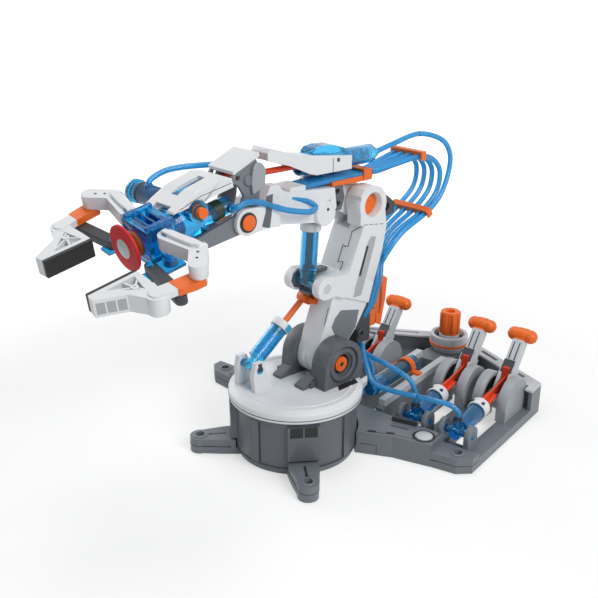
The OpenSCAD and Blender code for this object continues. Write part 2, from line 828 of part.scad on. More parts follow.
// Forearm: tongue in the elbow, box, and lugs at the wrist
tongue_far = -12.6;
tongue_near = -4;
lug_gap = 0.5;
wrist_t = 3.5;
module fore_2d() {
    polygon([E + [31, 3], E + [33, 17], W + [-37, 12], W + [-30, 19], W + [-24, 19], W + [-18, 8],
        W + [-18, -7], W + [-26, -8], boss + [8, -6], boss + [-6, -8]]);
}

module forearm() {
    lug_x0 = cradle_half + lug_gap;
    color(white) arm_frame() difference() {
        union() {
            side(fore_x - fore_half, fore_x + fore_half) fore_2d();
            side(fore_x - lug_x0 - wrist_t, fore_x + lug_x0 + wrist_t)
                polygon([W + [-27, -8], W + [-27, 12], W + [-18, 8], W + [-18, -7]]);
            for (d = [-1, 1]) translate([fore_x, 0, 0]) mirror([d < 0 ? 1 : 0, 0, 0]) {
                side(lug_x0, lug_x0 + wrist_t) {
                    translate(W) circle(9);
                    polygon([W + [-20, -7], W + [-20, 8], W + [0, 9], W + [2, -8.7]]);
                }
            }
            across(boss, fore_x + fore_half - 1, fore_x + fore_half + 3, 9);
            side(fore_x - post_x - post_t, fore_x - post_x) {
                translate(trunnion) circle(5);
                polygon([trunnion + [-4, -3], trunnion + [4, 3], E + [52, 15], E + [50, 6], E + [36, 6]]);
            }
            across(E, tongue_far, tongue_near, elbow_r - 1.5);
            side(tongue_far, tongue_near) polygon([E + [-2, elbow_r - 1.6], E + [34, 16], E + [32, 3],
                E + [4, -elbow_r + 2.2]]);
        }
        across(E, tongue_far - 1, tongue_near + 1, pin_r + pin_gap);
        across(W, fore_x - 40, fore_x + 40, pin_r + pin_gap);
        across(trunnion, fore_x - 40, fore_x, stub_r + pin_gap);
        across(boss, fore_x - fore_half + 0.8, fore_x + fore_half - 0.8, 2.5 + pin_gap);
        side(elbow_x - 5, elbow_x + 5) {
            translate(boss) circle(eye_r + 0.8);
            polygon([boss + [eye_r + 0.8, 0], boss + [6, -24], boss + [-26, -24], boss + [-eye_r, 2.6]]);
        }
        side(fore_x - fore_half + wall, fore_x + fore_half - wall)
            polygon([boss + [10, 2], boss + [10, 12], W + [-33, 9], W + [-25, 4], W + [-25, -4]]);
        across(E + [38, 8], fore_x + fore_half - 4, fore_x + fore_half + 1, 1.2);
        side(fore_x - 4, fore_x + 4) polygon([W + [-44, 11.2], W + [-16, 9], W + [-16, 30], W + [-44, 30]]);
    }
}

module forearm_bracket() {
    color(grey) arm_frame() difference() {
        side(tongue_near + 0.2, fore_x + post_x - 0.2) polygon([E + [30.9, 3], E + [32.9, 17], E + [23, 17],
            E + [21, 8], E + [24, -1], E + [30, -1]]);
        for (p = [[28, 13], [27.5, 4]]) across(E + p, tongue_near - 1, fore_x + fore_half + 1, 2);
    }
}

// Clip that leads the hoses over the elbow, with a stop on its far side
hose_pitch = 2 * hose_r + 0.2;
clip_up = 21.2;
clip_x = [for (i = [-1.5 : 1.5]) fore_x + hose_pitch * i];
module elbow_clip() {
    color(orange) arm_frame() difference() {
        union() {
            side(fore_x - frame_half, fore_x + frame_half) polygon([E + [33, 17.1], E + [22.8, 17.1], E + [8, 16.4],
                E + [-7, 16.4], E + [-8, 20.5], E + [33, 20.5]]);
            side(fore_x - frame_half - 2, fore_x - frame_half) polygon([E + [25, 17.1], E + [4, 16.4], E + [4, 25],
                E + [25, 26]]);
        }
        for (x = clip_x) along(E + [-20, clip_up], 0, x) cylinder(h = 70, r = hose_r + pin_gap * 4);
    }
}

// Wrist cylinder rocking on its trunnion above the forearm
wrist_bore = 5.6;
wrist_barrel_r = 6.9;
wrist_rod_r = 2.1;
frame_half = 8.6;
post_x = frame_half + 0.6;
post_t = 3;
module wrist_2d() {
    polygon([[-14, -6.5], [-14, 3], [33, 8.5], [62, 17], [64, 14], [64, 9], [44, 3], [26, -5], [20, -6.5]]);
}

module dome_2d(gap) {
    polygon([[-13 - gap, 0], [-13 - gap, 4], [-8, 9 + gap], [2, 12 + gap], [12, 12.5 + gap], [19, 11.5 + gap],
        [22 + gap, 9], [22 + gap, 0]]);
}

// Side view of the wrist cylinder, drawn along its own axis from its trunnion
module wrist_side(half) {
    side(fore_x - half, fore_x + half) translate(trunnion) rotate(wrist_angle) children();
}

module wrist_frame() {
    color(white) arm_frame() difference() {
        wrist_side(frame_half) wrist_2d();
        wrist_side(frame_half - 1.6) polygon([[32, -20], [32, 6], [62, 13.5], [80, 16], [80, -20]]);
        wrist_side(dome_half + 0.1) dome_2d(0.1);
        along(trunnion, wrist_angle, fore_x) translate([0, 0, -40]) cylinder(h = 80, r = wrist_barrel_r + pin_gap);
        across(trunnion, -40, fore_x, stub_r + pin_gap);
    }
}

dome_half = 6.4;
module wrist_barrel() {
    color(blue) arm_frame() {
        difference() {
            union() {
                along(trunnion, wrist_angle, fore_x) translate([0, 0, -41]) cylinder(h = 71, r = wrist_barrel_r);
                along(trunnion, wrist_angle, fore_x) translate([0, 0, -47]) cylinder(h = 8, r = 3.4);
                wrist_side(dome_half) dome_2d(0);
            }
            along(trunnion, wrist_angle, fore_x) translate([0, 0, -35]) cylinder(h = 80, r = wrist_bore);
        }
        across(trunnion, fore_x - post_x - post_t, fore_x - wrist_bore - 0.4, stub_r);
    }
}

module wrist_rod() {
    color(red) arm_frame() {
        along(trunnion, wrist_angle, fore_x) translate([0, 0, 10]) cylinder(h = wrist_len - 10, r = wrist_rod_r);
        across(wrist_eye, fore_x - 6, fore_x + 6, eye_r);
        across(wrist_eye, fore_x - cradle_half, fore_x + cradle_half, 2.5);
    }
}

// Wrist cradle: cheeks, tray and rails
cheek_thick = 2.5;
module cradle_side_2d() {
    circle(8.5);
    polygon([[-7, -4.5], [-15, 9], [-20, 24], [-19, 35.8], [-14, 34.8], [1, 31.7], [2, 31], [3, 27], [-1, 24.5],
        [-4, 16], [4, 6], [44, 3], [44, -5], [4, -7.4]]);
}

module wrist_cradle() {
    color(grey) hand_frame() difference() {
        union() {
            for (d = [0, 1]) mirror([d, 0, 0]) side(cradle_half - cheek_thick, cradle_half) cradle_side_2d();
            translate([-cradle_half, -44, -5]) cube([2 * cradle_half, 34, 4]);
        }
        across([0, 0], -40, 40, pin_r + pin_gap);
        rotate([-hand_pitch, 0, 0]) across(wrist_eye - W, -40, 40, 2.5 + pin_gap);
        across([-2, 29], -40, 40, 1.6);
    }
}

module wrist_pin() {
    color(orange) arm_frame() {
        for (d = [-1, 1]) translate([fore_x, 0, 0]) mirror([d < 0 ? 1 : 0, 0, 0]) {
            across(W, cradle_half - cheek_thick, cradle_half + lug_gap + wrist_t, pin_r);
            across(W, cradle_half + lug_gap + wrist_t, cradle_half + lug_gap + wrist_t + 1.5, pin_r + 1.2);
        }
    }
}

// White cover over the roll drive, and the hood between the rails
cyl_a = 34;
cyl_up = 8.6;
cyl_r = 7;
module hand_cover() {
    color(white) hand_frame() {
        difference() {
            side(-16, 16) polygon([[4.5, roll_h + 13.2], [4.5, roll_h + 19], [12, roll_h + 22], [32, roll_h + 20.5],
                [47, roll_h + 15.5], [47, roll_h + 13.2]]);
            side(-13.6, 13.6) polygon([[7, roll_h], [7, roll_h + 17], [13, roll_h + 19.4], [31, roll_h + 18],
                [44.5, roll_h + 13.8], [44.5, roll_h]]);
            across([cyl_a, roll_h + cyl_up], -40, 40, cyl_r + pin_gap);
            translate([-3.5, -38, 0]) cube([7, 22, 60]);
        }
        side(-cradle_half, cradle_half) polygon([[-22, 36.8], [-22, 39.4], [1, 34.6], [1, 32]]);
    }
}

// Blue housing of the roll drive with its cross cylinder
house_r = 12.8;
house_a = [26, 49.5];
plunger_r = 5;
twin_x = 6;
twin_up = 12.4;
twin_l = 22;
module roll_housing() {
    color(blue) hand_frame() difference() {
        union() {
            translate([0, -house_a[0], roll_h]) rotate([90, 0, 0]) cylinder(h = house_a[1] - house_a[0], r = house_r);
            across([cyl_a, roll_h + cyl_up], -52, 17, cyl_r);
            across([cyl_a, roll_h + cyl_up], -55, -51, cyl_r + 1);
            translate([-6, -house_a[1] + 4, -1]) cube([12, 16, 4]);
            translate([twin_x, -house_a[0] - 1, twin_up]) rotate([-90, 0, 0]) cylinder(h = twin_l, r = barrel_r);
            across([house_a[0] - twin_l + 4, twin_up], twin_x, twin_x + 9, 2.8);
        }
        across([cyl_a, roll_h + cyl_up], -40, 30, plunger_r + 0.2);
        translate([0, -house_a[0] - 14, roll_h]) rotate([90, 0, 0]) cylinder(h = 30, r = hub_r + pin_gap);
        across([cyl_a + cyl_r + 2, roll_h], -1, 1, 2);
    }
}
hub_r = 5;

module roll_plunger() {
    color(orange) hand_frame() {
        across([cyl_a, roll_h + cyl_up], -14, 18, plunger_r);
        across([cyl_a, roll_h + cyl_up], 17, 22, 3.4);
    }
}

// Hand block that rolls on the housing and carries the gripper's cranks
plate_z = -12;
plate_t = 1.7;
crank_z = [1.5, 10.5];
link_z = [-10, -4];
grip_pin = 2.5;
hand_a = [50, 71];
module hand_block() {
    color(blue) roll_frame() {
        translate([0, -house_a[0] - 15, 0]) rotate([90, 0, 0]) cylinder(h = 16, r = hub_r);
        difference() {
            translate([-13, -hand_a[1], plate_z]) cube([26, hand_a[1] - hand_a[0], 24]);
            translate([-9, -hand_a[1] + 5, plate_z + 4]) cube([18, hand_a[1] - hand_a[0] - 10, 30]);
        }
        for (d = [0, 1]) mirror([d, 0, 0]) {
            plan(plate_z, plate_z + plate_t) polygon([[12, hand_a[0] + 3], [K[0] + 6, hand_a[0] + 5],
                [K[0] + 6, K[1] + link_step[1] + 6], [cup_r + 1.5, K[1] + link_step[1] + 6], [cup_r + 1.5, hand_a[1]],
                [12, hand_a[1]]]);
            plan(plate_z, crank_z[1] + 1) translate(K) circle(grip_pin);
            plan(plate_z, crank_z[0] - 0.5) translate(K) circle(grip_pin + 2);
            plan(plate_z, link_z[1] + 1) translate(K + link_step) circle(grip_pin);
        }
    }
}

// Suction cup on the front of the hand
module suction_cup() {
    color(red) roll_frame() translate([0, -hand_a[1], 0]) rotate([90, 0, 0]) rotate_extrude()
        polygon([[0, 0], [8, 0], [8, 3], [6, 5], [cup_r, 7.5], [cup_r, 9], [5, 9.5], [0, 9.5]]);
}

// Gripper: white cranks, dark links, white fingers and rubber pads
module crank(far) {
    color(white) handed(far) difference() {
        plan(crank_z[0], crank_z[1]) {
            bar2d(K, [44, 57], 11);
            bar2d([44, 57], G, 11);
        }
        for (p = [K, G]) plan(crank_z[0] - 5, crank_z[1] + 5) translate(p) circle(grip_pin + pin_gap);
    }
}

module grip_link(far) {
    color(dark) handed(far) difference() {
        plan(link_z[0], link_z[1]) bar2d(K + link_step, G + link_step, 7.4);
        for (p = [K, G]) plan(link_z[0] - 5, link_z[1] + 5) translate(p + link_step) circle(grip_pin + pin_gap);
    }
}

finger_back = 88;
module finger(far) {
    tip = finger_back + pad_len;
    face = grip_half + pad_t;
    color(white) handed(far) {
        difference() {
            plan(-finger_t, 0) {
                polygon([[face, finger_back], [face, tip], [face + 6, tip + 1], [face + 15, tip - 16],
                    [H[0], H[1] + 6], [H[0] - 4, H[1] - 4], [face + 8, finger_back]]);
                translate(H) circle(6.5);
            }
            plan(-6, 1) {
                polygon([[face + 3, finger_back + 4], [face + 3, tip - 10], [face + 11, tip - 18],
                    [H[0] - 8, H[1] + 2]]);
            }
        }
        plan(link_z[1] + 0.5, crank_z[0] - 0.5) bar2d(G, H, 9);
        plan(0, crank_z[1]) translate(G) circle(grip_pin);
        plan(link_z[0], 0) translate(G + link_step) circle(grip_pin);
    }
}

module pad(far) {
    color(black) handed(far) plan(-finger_t, 0)
        translate([grip_half, finger_back]) square([pad_t, pad_len]);
}

// Hose routes: deck to arm as places, then round the elbow, along the forearm and to the wrist
// cylinder as arm points [forward, sideways, height]
function from_elbow(f, x, z) = [E[0] + f, x, E[1] + z];
hose_out = fit_z + fit_h + 0.7;
lower_routes = [
    [[lane_x[0], fit_y, hose_out], [lane_x[0], fit_y - 1, hose_out + 6], [lane_x[0] - 6, 57, 41],
        [89, 54, 42.5], [74, 52, 42], [51, 48, 42], [38, 47, 45], [29.6, 50, 56], [23, 55, 63.5],
        [21.4, 56.6, 70.1]],
    [[lane_x[1], fit_y, hose_out], [lane_x[1], fit_y, hose_out + 7], [64, 60, 48], [55, 58, 54], [43, 57, 57.7],
        [29, 57, 60], [19, 57.4, 64], [17, 57.4, 70.1]],
    [[deck_x, fit_y + 1, mid_z + fit_h + 0.7], [deck_x, fit_y + 1.6, 46], [20, 66, 54], [12.5, 61, 62],
        [12.6, 58.2, 70.1]]];
loop_routes = [for (a = [-1.5 : 1.5]) [from_elbow(-15, 4.4 * a, -60), from_elbow(-20, 5 * a, -41),
    from_elbow(-34, 6 * a - 1, -28), from_elbow(-60, 8 * a - 3, -17), from_elbow(-77, 8 * a - 3, -4),
    from_elbow(-80, 8 * a - 3, 12), from_elbow(-70, 8 * a - 3, 23), from_elbow(-55, 8 * a - 3, 27),
    from_elbow(-34, 6 * a + fore_x, 24), from_elbow(-16, 4.4 * a + fore_x, clip_up - 0.2),
    from_elbow(-8.6, hose_pitch * a + fore_x, clip_up)]];
fore_routes = [for (x = clip_x) [for (q = [[-8, 0], [14, 0], [34, 0], [50, -0.4], [66, 0.7]])
    from_elbow(q[0], x, clip_up + q[1])]];
wrist_routes = [[from_elbow(-19.5, fore_x, 33.4), from_elbow(-36, -3, 37), from_elbow(-60, 2, 42.6),
    from_elbow(-81, 8, 36.5), from_elbow(-89, 11, 24), from_elbow(-85, 13, 8), from_elbow(-75, 14, -7),
    from_elbow(-60, 14, -17), from_elbow(-34, 13, -28), from_elbow(-20, 12.4, -41), from_elbow(-15, 11.2, -60)]];
clip_places = [E + [-55, 27], E + [-60, -17]];

// Turns arm points [forward, sideways, height] into places
function arm_points(p) = [for (q = p) [q[1] * cos(arm_yaw) + q[0] * sin(arm_yaw),
    q[1] * sin(arm_yaw) - q[0] * cos(arm_yaw), q[2]]];

// Orange clips that hold the loose hoses apart
module hose_clips() {
    color(orange) arm_frame() for (i = [0, 1]) difference() {
        side(-19, i == 0 ? 13 : 18) translate(clip_places[i]) rotate(i == 0 ? 15 : 30) square([5, 7], center = true);
        for (a = [-1.5 : 1.5]) translate([8 * a - 3, -clip_places[i][0], clip_places[i][1]])
            rotate([i == 0 ? 75 : 60, 0, 0]) cylinder(h = 30, r = hose_r + 0.5, center = true);
        translate([14, -clip_places[i][0], clip_places[i][1]]) rotate([60, 0, 0])
            cylinder(h = 30, r = hose_r + 0.5, center = true);
    }
}

module hose_lower() {
    color(blue) for (p = lower_routes) hose(p, 1);
}

module hose_loop() {
    color(blue) for (p = loop_routes) hose(arm_points(p), 1);
}

module hose_fore() {
    color(blue) for (p = fore_routes) hose(arm_points(p), 1);
}

module hose_wrist() {
    color(blue) for (p = wrist_routes) hose(arm_points(p), 1);
}

base_drum();
base_frame();
deck_rails();
lever_cheeks();
control_barrels();
barrel_collars();
barrel_clip();
turntable();
shoulder_cheeks();
shoulder_pin();
shoulder_barrel();
shoulder_collar();
shoulder_rod();
upper_arm_near();
upper_arm_far();
hose_guides();
hose_bracket();
elbow_pin();
elbow_barrel();
elbow_collar();
elbow_rod();
forearm();
forearm_bracket();
elbow_clip();
wrist_frame();
wrist_barrel();
wrist_rod();
wrist_cradle();
wrist_pin();
hand_cover();
roll_housing();
roll_plunger();
hand_block();
suction_cup();
crank(false);  // crank_near
crank(true);  // crank_far
grip_link(false);  // link_near
grip_link(true);  // link_far
finger(false);  // finger_near
finger(true);  // finger_far
pad(false);  // pad_near
pad(true);  // pad_far
lever(0);  // lever_1
lever(1);  // lever_2
lever(2);  // lever_3
lever(3);  // lever_4
handle(0);  // handle_1
handle(1);  // handle_2
handle(2);  // handle_3
handle(3);  // handle_4
plunger(0);  // plunger_1
plunger(1);  // plunger_2
plunger(2);  // plunger_3
plunger(3);  // plunger_4
knob();
hose_lower();
hose_loop();
hose_fore();
hose_wrist();
hose_clips();
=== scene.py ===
# A syringe-driven desktop robot arm with its deck of control levers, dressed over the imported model.
import math

import bmesh
import bpy
from mathutils import Matrix, Vector


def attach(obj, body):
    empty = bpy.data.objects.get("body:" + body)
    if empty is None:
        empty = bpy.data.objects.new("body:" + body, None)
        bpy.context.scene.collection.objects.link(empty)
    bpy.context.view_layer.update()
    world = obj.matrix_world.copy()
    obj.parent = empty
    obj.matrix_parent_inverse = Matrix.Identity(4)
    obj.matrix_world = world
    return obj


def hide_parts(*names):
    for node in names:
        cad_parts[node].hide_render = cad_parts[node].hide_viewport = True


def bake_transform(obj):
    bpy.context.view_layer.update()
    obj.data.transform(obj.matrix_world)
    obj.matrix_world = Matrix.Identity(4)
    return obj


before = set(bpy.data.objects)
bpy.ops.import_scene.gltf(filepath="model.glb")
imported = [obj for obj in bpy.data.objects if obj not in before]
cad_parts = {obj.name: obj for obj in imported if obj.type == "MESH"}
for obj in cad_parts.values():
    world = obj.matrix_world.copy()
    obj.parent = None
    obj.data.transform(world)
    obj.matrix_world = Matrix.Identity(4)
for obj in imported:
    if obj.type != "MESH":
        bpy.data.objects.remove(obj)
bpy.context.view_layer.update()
scene = bpy.context.scene

# Camera
# A long-lens product view from the arm's near side, slightly above,
# so that it looks down on the lever deck.
PHOTO_SIZE = 598
FOCAL_PIXELS = 850
SENSOR = 36
CAMERA_PLACE = (0.3517, -0.4460, 0.3408)
CAMERA_PITCH = 21.4
CAMERA_TURN = 38.0
CAMERA_NEAREST = 0.01
camera_data = bpy.data.cameras.new("product_camera")
camera_data.sensor_fit = "HORIZONTAL"
camera_data.sensor_width = SENSOR
camera_data.lens = SENSOR * FOCAL_PIXELS / PHOTO_SIZE
camera_data.clip_start = CAMERA_NEAREST
camera = bpy.data.objects.new("product_camera", camera_data)
camera.location = CAMERA_PLACE
camera.rotation_euler = (math.radians(90 - CAMERA_PITCH), 0, math.radians(CAMERA_TURN))
scene.collection.objects.link(camera)
scene.camera = camera


# Studio
# A white paper sweep under three large soft lamps. What the lens sees of the
# paper stays white, and round the object it keeps a soft shadow.
def linear(hex_colour, shade=1.0):
    channels = [int(hex_colour[i:i + 2], 16) / 255 for i in (1, 3, 5)]
    light = [c / 12.92 if c <= 0.04045 else ((c + 0.055) / 1.055) ** 2.4 for c in channels]
    return [shade * c for c in light] + [1.0]


def add(tree, kind, inputs=(), **settings):
    node = tree.nodes.new("ShaderNode" + kind)
    for name, value in settings.items():
        setattr(node, name, value)
    for name, value in dict(inputs).items():
        if isinstance(value, bpy.types.NodeSocket):
            tree.links.new(value, node.inputs[name])
        else:
            node.inputs[name].default_value = value
    return node


def new_tree(owner):
    owner.use_nodes = True
    owner.node_tree.nodes.clear()
    return owner.node_tree


def seen_directly(tree):
    # One where the lens sees the surface, straight or by way of gloss or clear plastic, and else nought.
    rays = add(tree, "LightPath").outputs
    with_gloss = add(tree, "Math", {0: rays["Is Camera Ray"], 1: rays["Is Glossy Ray"]}, operation="ADD")
    with_clear = add(tree, "Math", {0: with_gloss.outputs[0], 1: rays["Is Transmission Ray"]},
                     operation="ADD", use_clamp=True)
    return with_clear.outputs[0]


# Matt uncoated paper: its fibres shift the white a little. Its glow, which keeps it white to the lens,
# fades near the object, from the second distance of the patch to the first, so that the shadow shows.
PAPER_FIBRE = 0.0025
SHADOW_PATCH = (0.30, 0.75)
PAPER_GLOW = (0.40, 1.0)
GLOW_STRENGTH = 1.30
paper = bpy.data.materials.new("white_paper_sweep")
tree = new_tree(paper)
fibre = add(tree, "TexNoise", {"Scale": 1 / PAPER_FIBRE, "Detail": 2.0}).outputs["Fac"]
tint = add(tree, "Mix", {0: fibre, 6: linear("#f4f4f4"), 7: linear("#fafafa")}, data_type="RGBA")
matt = add(tree, "BsdfDiffuse", {"Color": tint.outputs[2]})
glow = add(tree, "Emission", {"Color": linear("#ffffff"), "Strength": GLOW_STRENGTH})
away = add(tree, "VectorMath", {0: add(tree, "TexCoord").outputs["Object"]}, operation="LENGTH")
fade = add(tree, "MapRange", {
    "Value": away.outputs["Value"], "From Min": SHADOW_PATCH[0], "From Max": SHADOW_PATCH[1],
    "To Min": PAPER_GLOW[0], "To Max": PAPER_GLOW[1]})
share = add(tree, "Math", {0: seen_directly(tree), 1: fade.outputs["Result"]}, operation="MULTIPLY")
both = add(tree, "MixShader", {0: share.outputs[0], 1: matt.outputs[0], 2: glow.outputs[0]})
add(tree, "OutputMaterial", {"Surface": both.outputs[0]})

FLOOR_HALF = 12.0
FLOOR_DROP = 0.0004
floor_mesh = bpy.data.meshes.new("paper_floor")
corners = [(FLOOR_HALF * x, FLOOR_HALF * y, 0) for x, y in ((-1, -1), (1, -1), (1, 1), (-1, 1))]
floor_mesh.from_pydata(corners, [], [(0, 1, 2, 3)])
floor_mesh.materials.append(paper)
floor = bpy.data.objects.new("paper_floor", floor_mesh)
floor.location.z = -FLOOR_DROP
scene.collection.objects.link(floor)

AMBIENT_STRENGTH = 0.17
world = bpy.data.worlds.new("studio")
scene.world = world
tree = new_tree(world)
ambient = add(tree, "Background", {"Color": linear("#f0f5fa"), "Strength": AMBIENT_STRENGTH})
backdrop = add(tree, "Background", {"Color": linear("#ffffff"), "Strength": 1.0})
both = add(tree, "MixShader", {0: seen_directly(tree), 1: ambient.outputs[0], 2: backdrop.outputs[0]})
add(tree, "OutputWorld", {"Surface": both.outputs[0]})

LAMPS = {
    "key_softbox": ((1.15, -0.25, 1.00), 12.2),
    "top_softbox": ((-0.15, 0.15, 1.45), 6.4),
    "left_softbox": ((-1.20, 0.05, 0.55), 5.2),
}
LAMP_SIZE = 0.8
LAMP_AIM = Vector((0.0, 0.03, 0.10))
for name, (place, power) in LAMPS.items():
    lamp_data = bpy.data.lights.new(name, "AREA")
    lamp_data.shape = "SQUARE"
    lamp_data.size = LAMP_SIZE
    lamp_data.energy = power
    lamp = bpy.data.objects.new(name, lamp_data)
    lamp.location = place
    lamp.rotation_euler = (LAMP_AIM - Vector(place)).to_track_quat("-Z", "Y").to_euler()
    scene.collection.objects.link(lamp)

scene.view_settings.view_transform = "Standard"

# Hoses
# Clear blue vinyl tubes, extruded 4 mm across and pushed on the cylinders' nipples. Round the turntable, the
# shoulder and the elbow they run between two bodies; along the forearm a clip holds four of them in a row.
HOSE_RADIUS = 0.002
HOSE_SIDES = 14
HOSE_STEPS = 8
DRAW_LINE = 0.006


def new_finish(name):
    # A material, its empty tree and the place on the piece, which its patterns follow.
    material = bpy.data.materials.new(name)
    tree = new_tree(material)
    return material, tree, add(tree, "TexCoord").outputs["Object"]


def clear_plastic(name, colour, clarity, roughness):
    # Extruded or moulded clear plastic: light goes through it, and faint draw lines blur what lies behind.
    material, tree, place = new_finish(name)
    draw = add(tree, "TexNoise", {"Vector": place, "Scale": 1 / DRAW_LINE, "Detail": 1.0}).outputs["Fac"]
    blur = add(tree, "MapRange", {"Value": draw, "To Min": roughness, "To Max": roughness + 0.05})
    tone = add(tree, "Mix", {0: draw, 6: linear(colour, 0.8), 7: linear(colour)}, data_type="RGBA")
    clear = add(tree, "BsdfPrincipled", {
        "Base Color": tone.outputs[2], "Roughness": blur.outputs["Result"], "IOR": 1.45,
        "Transmission Weight": clarity})
    add(tree, "OutputMaterial", {"Surface": clear.outputs[0]})
    return material


blue_vinyl = clear_plastic("blue_extruded_vinyl", "#35b1f2", 0.45, 0.08)
ARM_YAW = math.radians(-10)
FORWARD = Vector((math.sin(ARM_YAW), -math.cos(ARM_YAW), 0))
NEARWARD = Vector((math.cos(ARM_YAW), math.sin(ARM_YAW), 0))
UPWARD = Vector((0, 0, 1))


def frame_of(first, second, third, origin):
    # Axes for places in millimetres, from an origin in metres.
    axes = Matrix((first, second, third)).transposed().to_4x4()
    return Matrix.Translation(origin) @ axes @ Matrix.Scale(0.001, 4)


DECK = frame_of(Vector((1, 0, 0)), Vector((0, 1, 0)), UPWARD, Vector())
ARM = frame_of(FORWARD, NEARWARD, UPWARD, Vector())


def pitched(angle, place):
    # The arm's axes, turned nose down about its cross axis, from a place in the arm.
    run = FORWARD * math.cos(angle) - UPWARD * math.sin(angle)
    rise = FORWARD * math.sin(angle) + UPWARD * math.cos(angle)
    return frame_of(run, NEARWARD, rise, ARM @ Vector(place))


def smooth_route(axes, places):
    # A smooth curve through the given places, in even steps between each two.
    points = [axes @ Vector(p) for p in places]
    line = []
    ends = [2 * points[0] - points[1], *points, 2 * points[-1] - points[-2]]
    for before, start, end, after in zip(ends, ends[1:], ends[2:], ends[3:]):
        for i in range(HOSE_STEPS):
            t = i / HOSE_STEPS
            line.append(0.5 * (2 * start + (end - before) * t
                               + (2 * before - 5 * start + 4 * end - after) * t ** 2
                               + (3 * start - before - 3 * end + after) * t ** 3))
    return line + [points[-1]]


def round_edges(piece, width):
    rounding = piece.modifiers.new("moulded_edge", "BEVEL")
    rounding.width = width
    rounding.segments = 2
    rounding.limit_method = "ANGLE"
    return rounding


def new_piece(name, builder, material, body=None, edge=0.0):
    # A built mesh becomes a piece that rides on its body, in the slot of its material.
    mesh = bpy.data.meshes.new(name)
    bmesh.ops.recalc_face_normals(builder, faces=builder.faces)
    builder.to_mesh(mesh)
    builder.free()
    mesh.materials.append(material)
    piece = bpy.data.objects.new(name, mesh)
    scene.collection.objects.link(piece)
    if edge:
        round_edges(piece, edge)
    if body:
        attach(piece, body)
    return piece


def swept_tube(line, radius, sides):
    # A round tube along a line, closed at both ends, which turns no more than the bends ask.
    builder = bmesh.new()
    tangents = [(b - a).normalized() for a, b in zip(line, line[1:])]
    tangents = [tangents[0]] + [(a + b).normalized() for a, b in zip(tangents, tangents[1:])] + [tangents[-1]]
    across = tangents[0].orthogonal().normalized()
    turns = [2 * math.pi * i / sides for i in range(sides)]
    rings = []
    for place, tangent in zip(line, tangents):
        across = (across - tangent * across.dot(tangent)).normalized()
        up = tangent.cross(across)
        spokes = [radius * (across * math.cos(t) + up * math.sin(t)) for t in turns]
        rings.append([builder.verts.new(place + spoke) for spoke in spokes])
    for a, b in zip(rings, rings[1:]):
        for i in range(sides):
            face = builder.faces.new((a[i], a[(i + 1) % sides], b[(i + 1) % sides], b[i]))
            face.smooth = True
    builder.faces.new(rings[0][::-1])
    builder.faces.new(rings[-1])
    return builder


def hose(name, line, bodies, start=None, end=None, stands_for=None, with_pieces=()):
    # A hose rides on one body, or is fixed in place where it runs between two.
    piece = new_piece(name, swept_tube(line, HOSE_RADIUS, HOSE_SIDES), blue_vinyl)
    if len(bodies) == 2:
        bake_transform(piece)
    else:
        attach(piece, bodies[0])
    if stands_for:
        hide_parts(stands_for)


# Deck to arm: each hose rises from its elbow fitting, crosses the turntable's edge and enters the dark guide.
# The number before a route says at which of its places it crosses the edge.
DECK_ROUTES = [
    (4, [(105, 60, 30.7), (105, 59, 36.7), (99, 57, 41), (89, 54, 42.5), (74, 52, 42), (51, 48, 42),
         (38, 47, 45), (29.6, 50, 56), (23, 55, 63.5), (21.4, 56.6, 70.1)]),
    (3, [(69, 60, 30.7), (69, 60, 37.7), (64, 60, 48), (55, 58, 54), (43, 57, 57.7), (29, 57, 60),
         (19, 57.4, 64), (17, 57.4, 70.1)]),
    (2, [(28, 61, 40.7), (28, 61.6, 46), (20, 66, 54), (12.5, 61, 62), (12.6, 58.2, 70.1)]),
]
for number, (crossing, places) in enumerate(DECK_ROUTES, 1):
    line = smooth_route(DECK, places)
    cut = crossing * HOSE_STEPS
    hose(f"hose_deck_{number}", line[:cut + 1], ("base", "turntable"), stands_for="hose_lower")
    hose(f"hose_rise_{number}", line[cut:], ("turntable", "upper_arm"), stands_for="hose_lower")

# Hose combs
# Two bars moulded in orange ABS hold the loop's hoses in a flat row where it swings out behind the elbow.
# The hoses snap into their mouths; the bars stand in the loop, between the upper arm and the forearm.
MOULD_FLOW = 0.035
MOULD_GRAIN = 0.0009
X, Y, Z = range(3)


def moulded_abs(name, colour, roughness=0.40):
    # Injection-moulded ABS: the mould's sparked skin gives a soft sheen, a faint grain and slow flow marks.
    # The grain is drawn at 0.9 mm, coarser than the real 0.2 mm, so that it still shows in the render.
    material, tree, place = new_finish(name)
    flow = add(tree, "TexNoise", {"Vector": place, "Scale": 1 / MOULD_FLOW, "Detail": 3.0}).outputs["Fac"]
    tone = add(tree, "Mix", {0: flow, 6: linear(colour, 0.92), 7: linear(colour)}, data_type="RGBA")
    grain = add(tree, "TexNoise", {"Vector": place, "Scale": 1 / MOULD_GRAIN, "Detail": 2.0})
    sheen = add(tree, "MapRange", {"Value": flow, "To Min": roughness - 0.05, "To Max": roughness + 0.07})
    bump = add(tree, "Bump", {"Height": grain.outputs["Fac"], "Strength": 0.35, "Distance": 0.00002})
    shell = add(tree, "BsdfPrincipled", {
        "Base Color": tone.outputs[2], "Roughness": sheen.outputs["Result"], "IOR": 1.53,
        "Normal": bump.outputs["Normal"]})
    add(tree, "OutputMaterial", {"Surface": shell.outputs[0]})
    return material


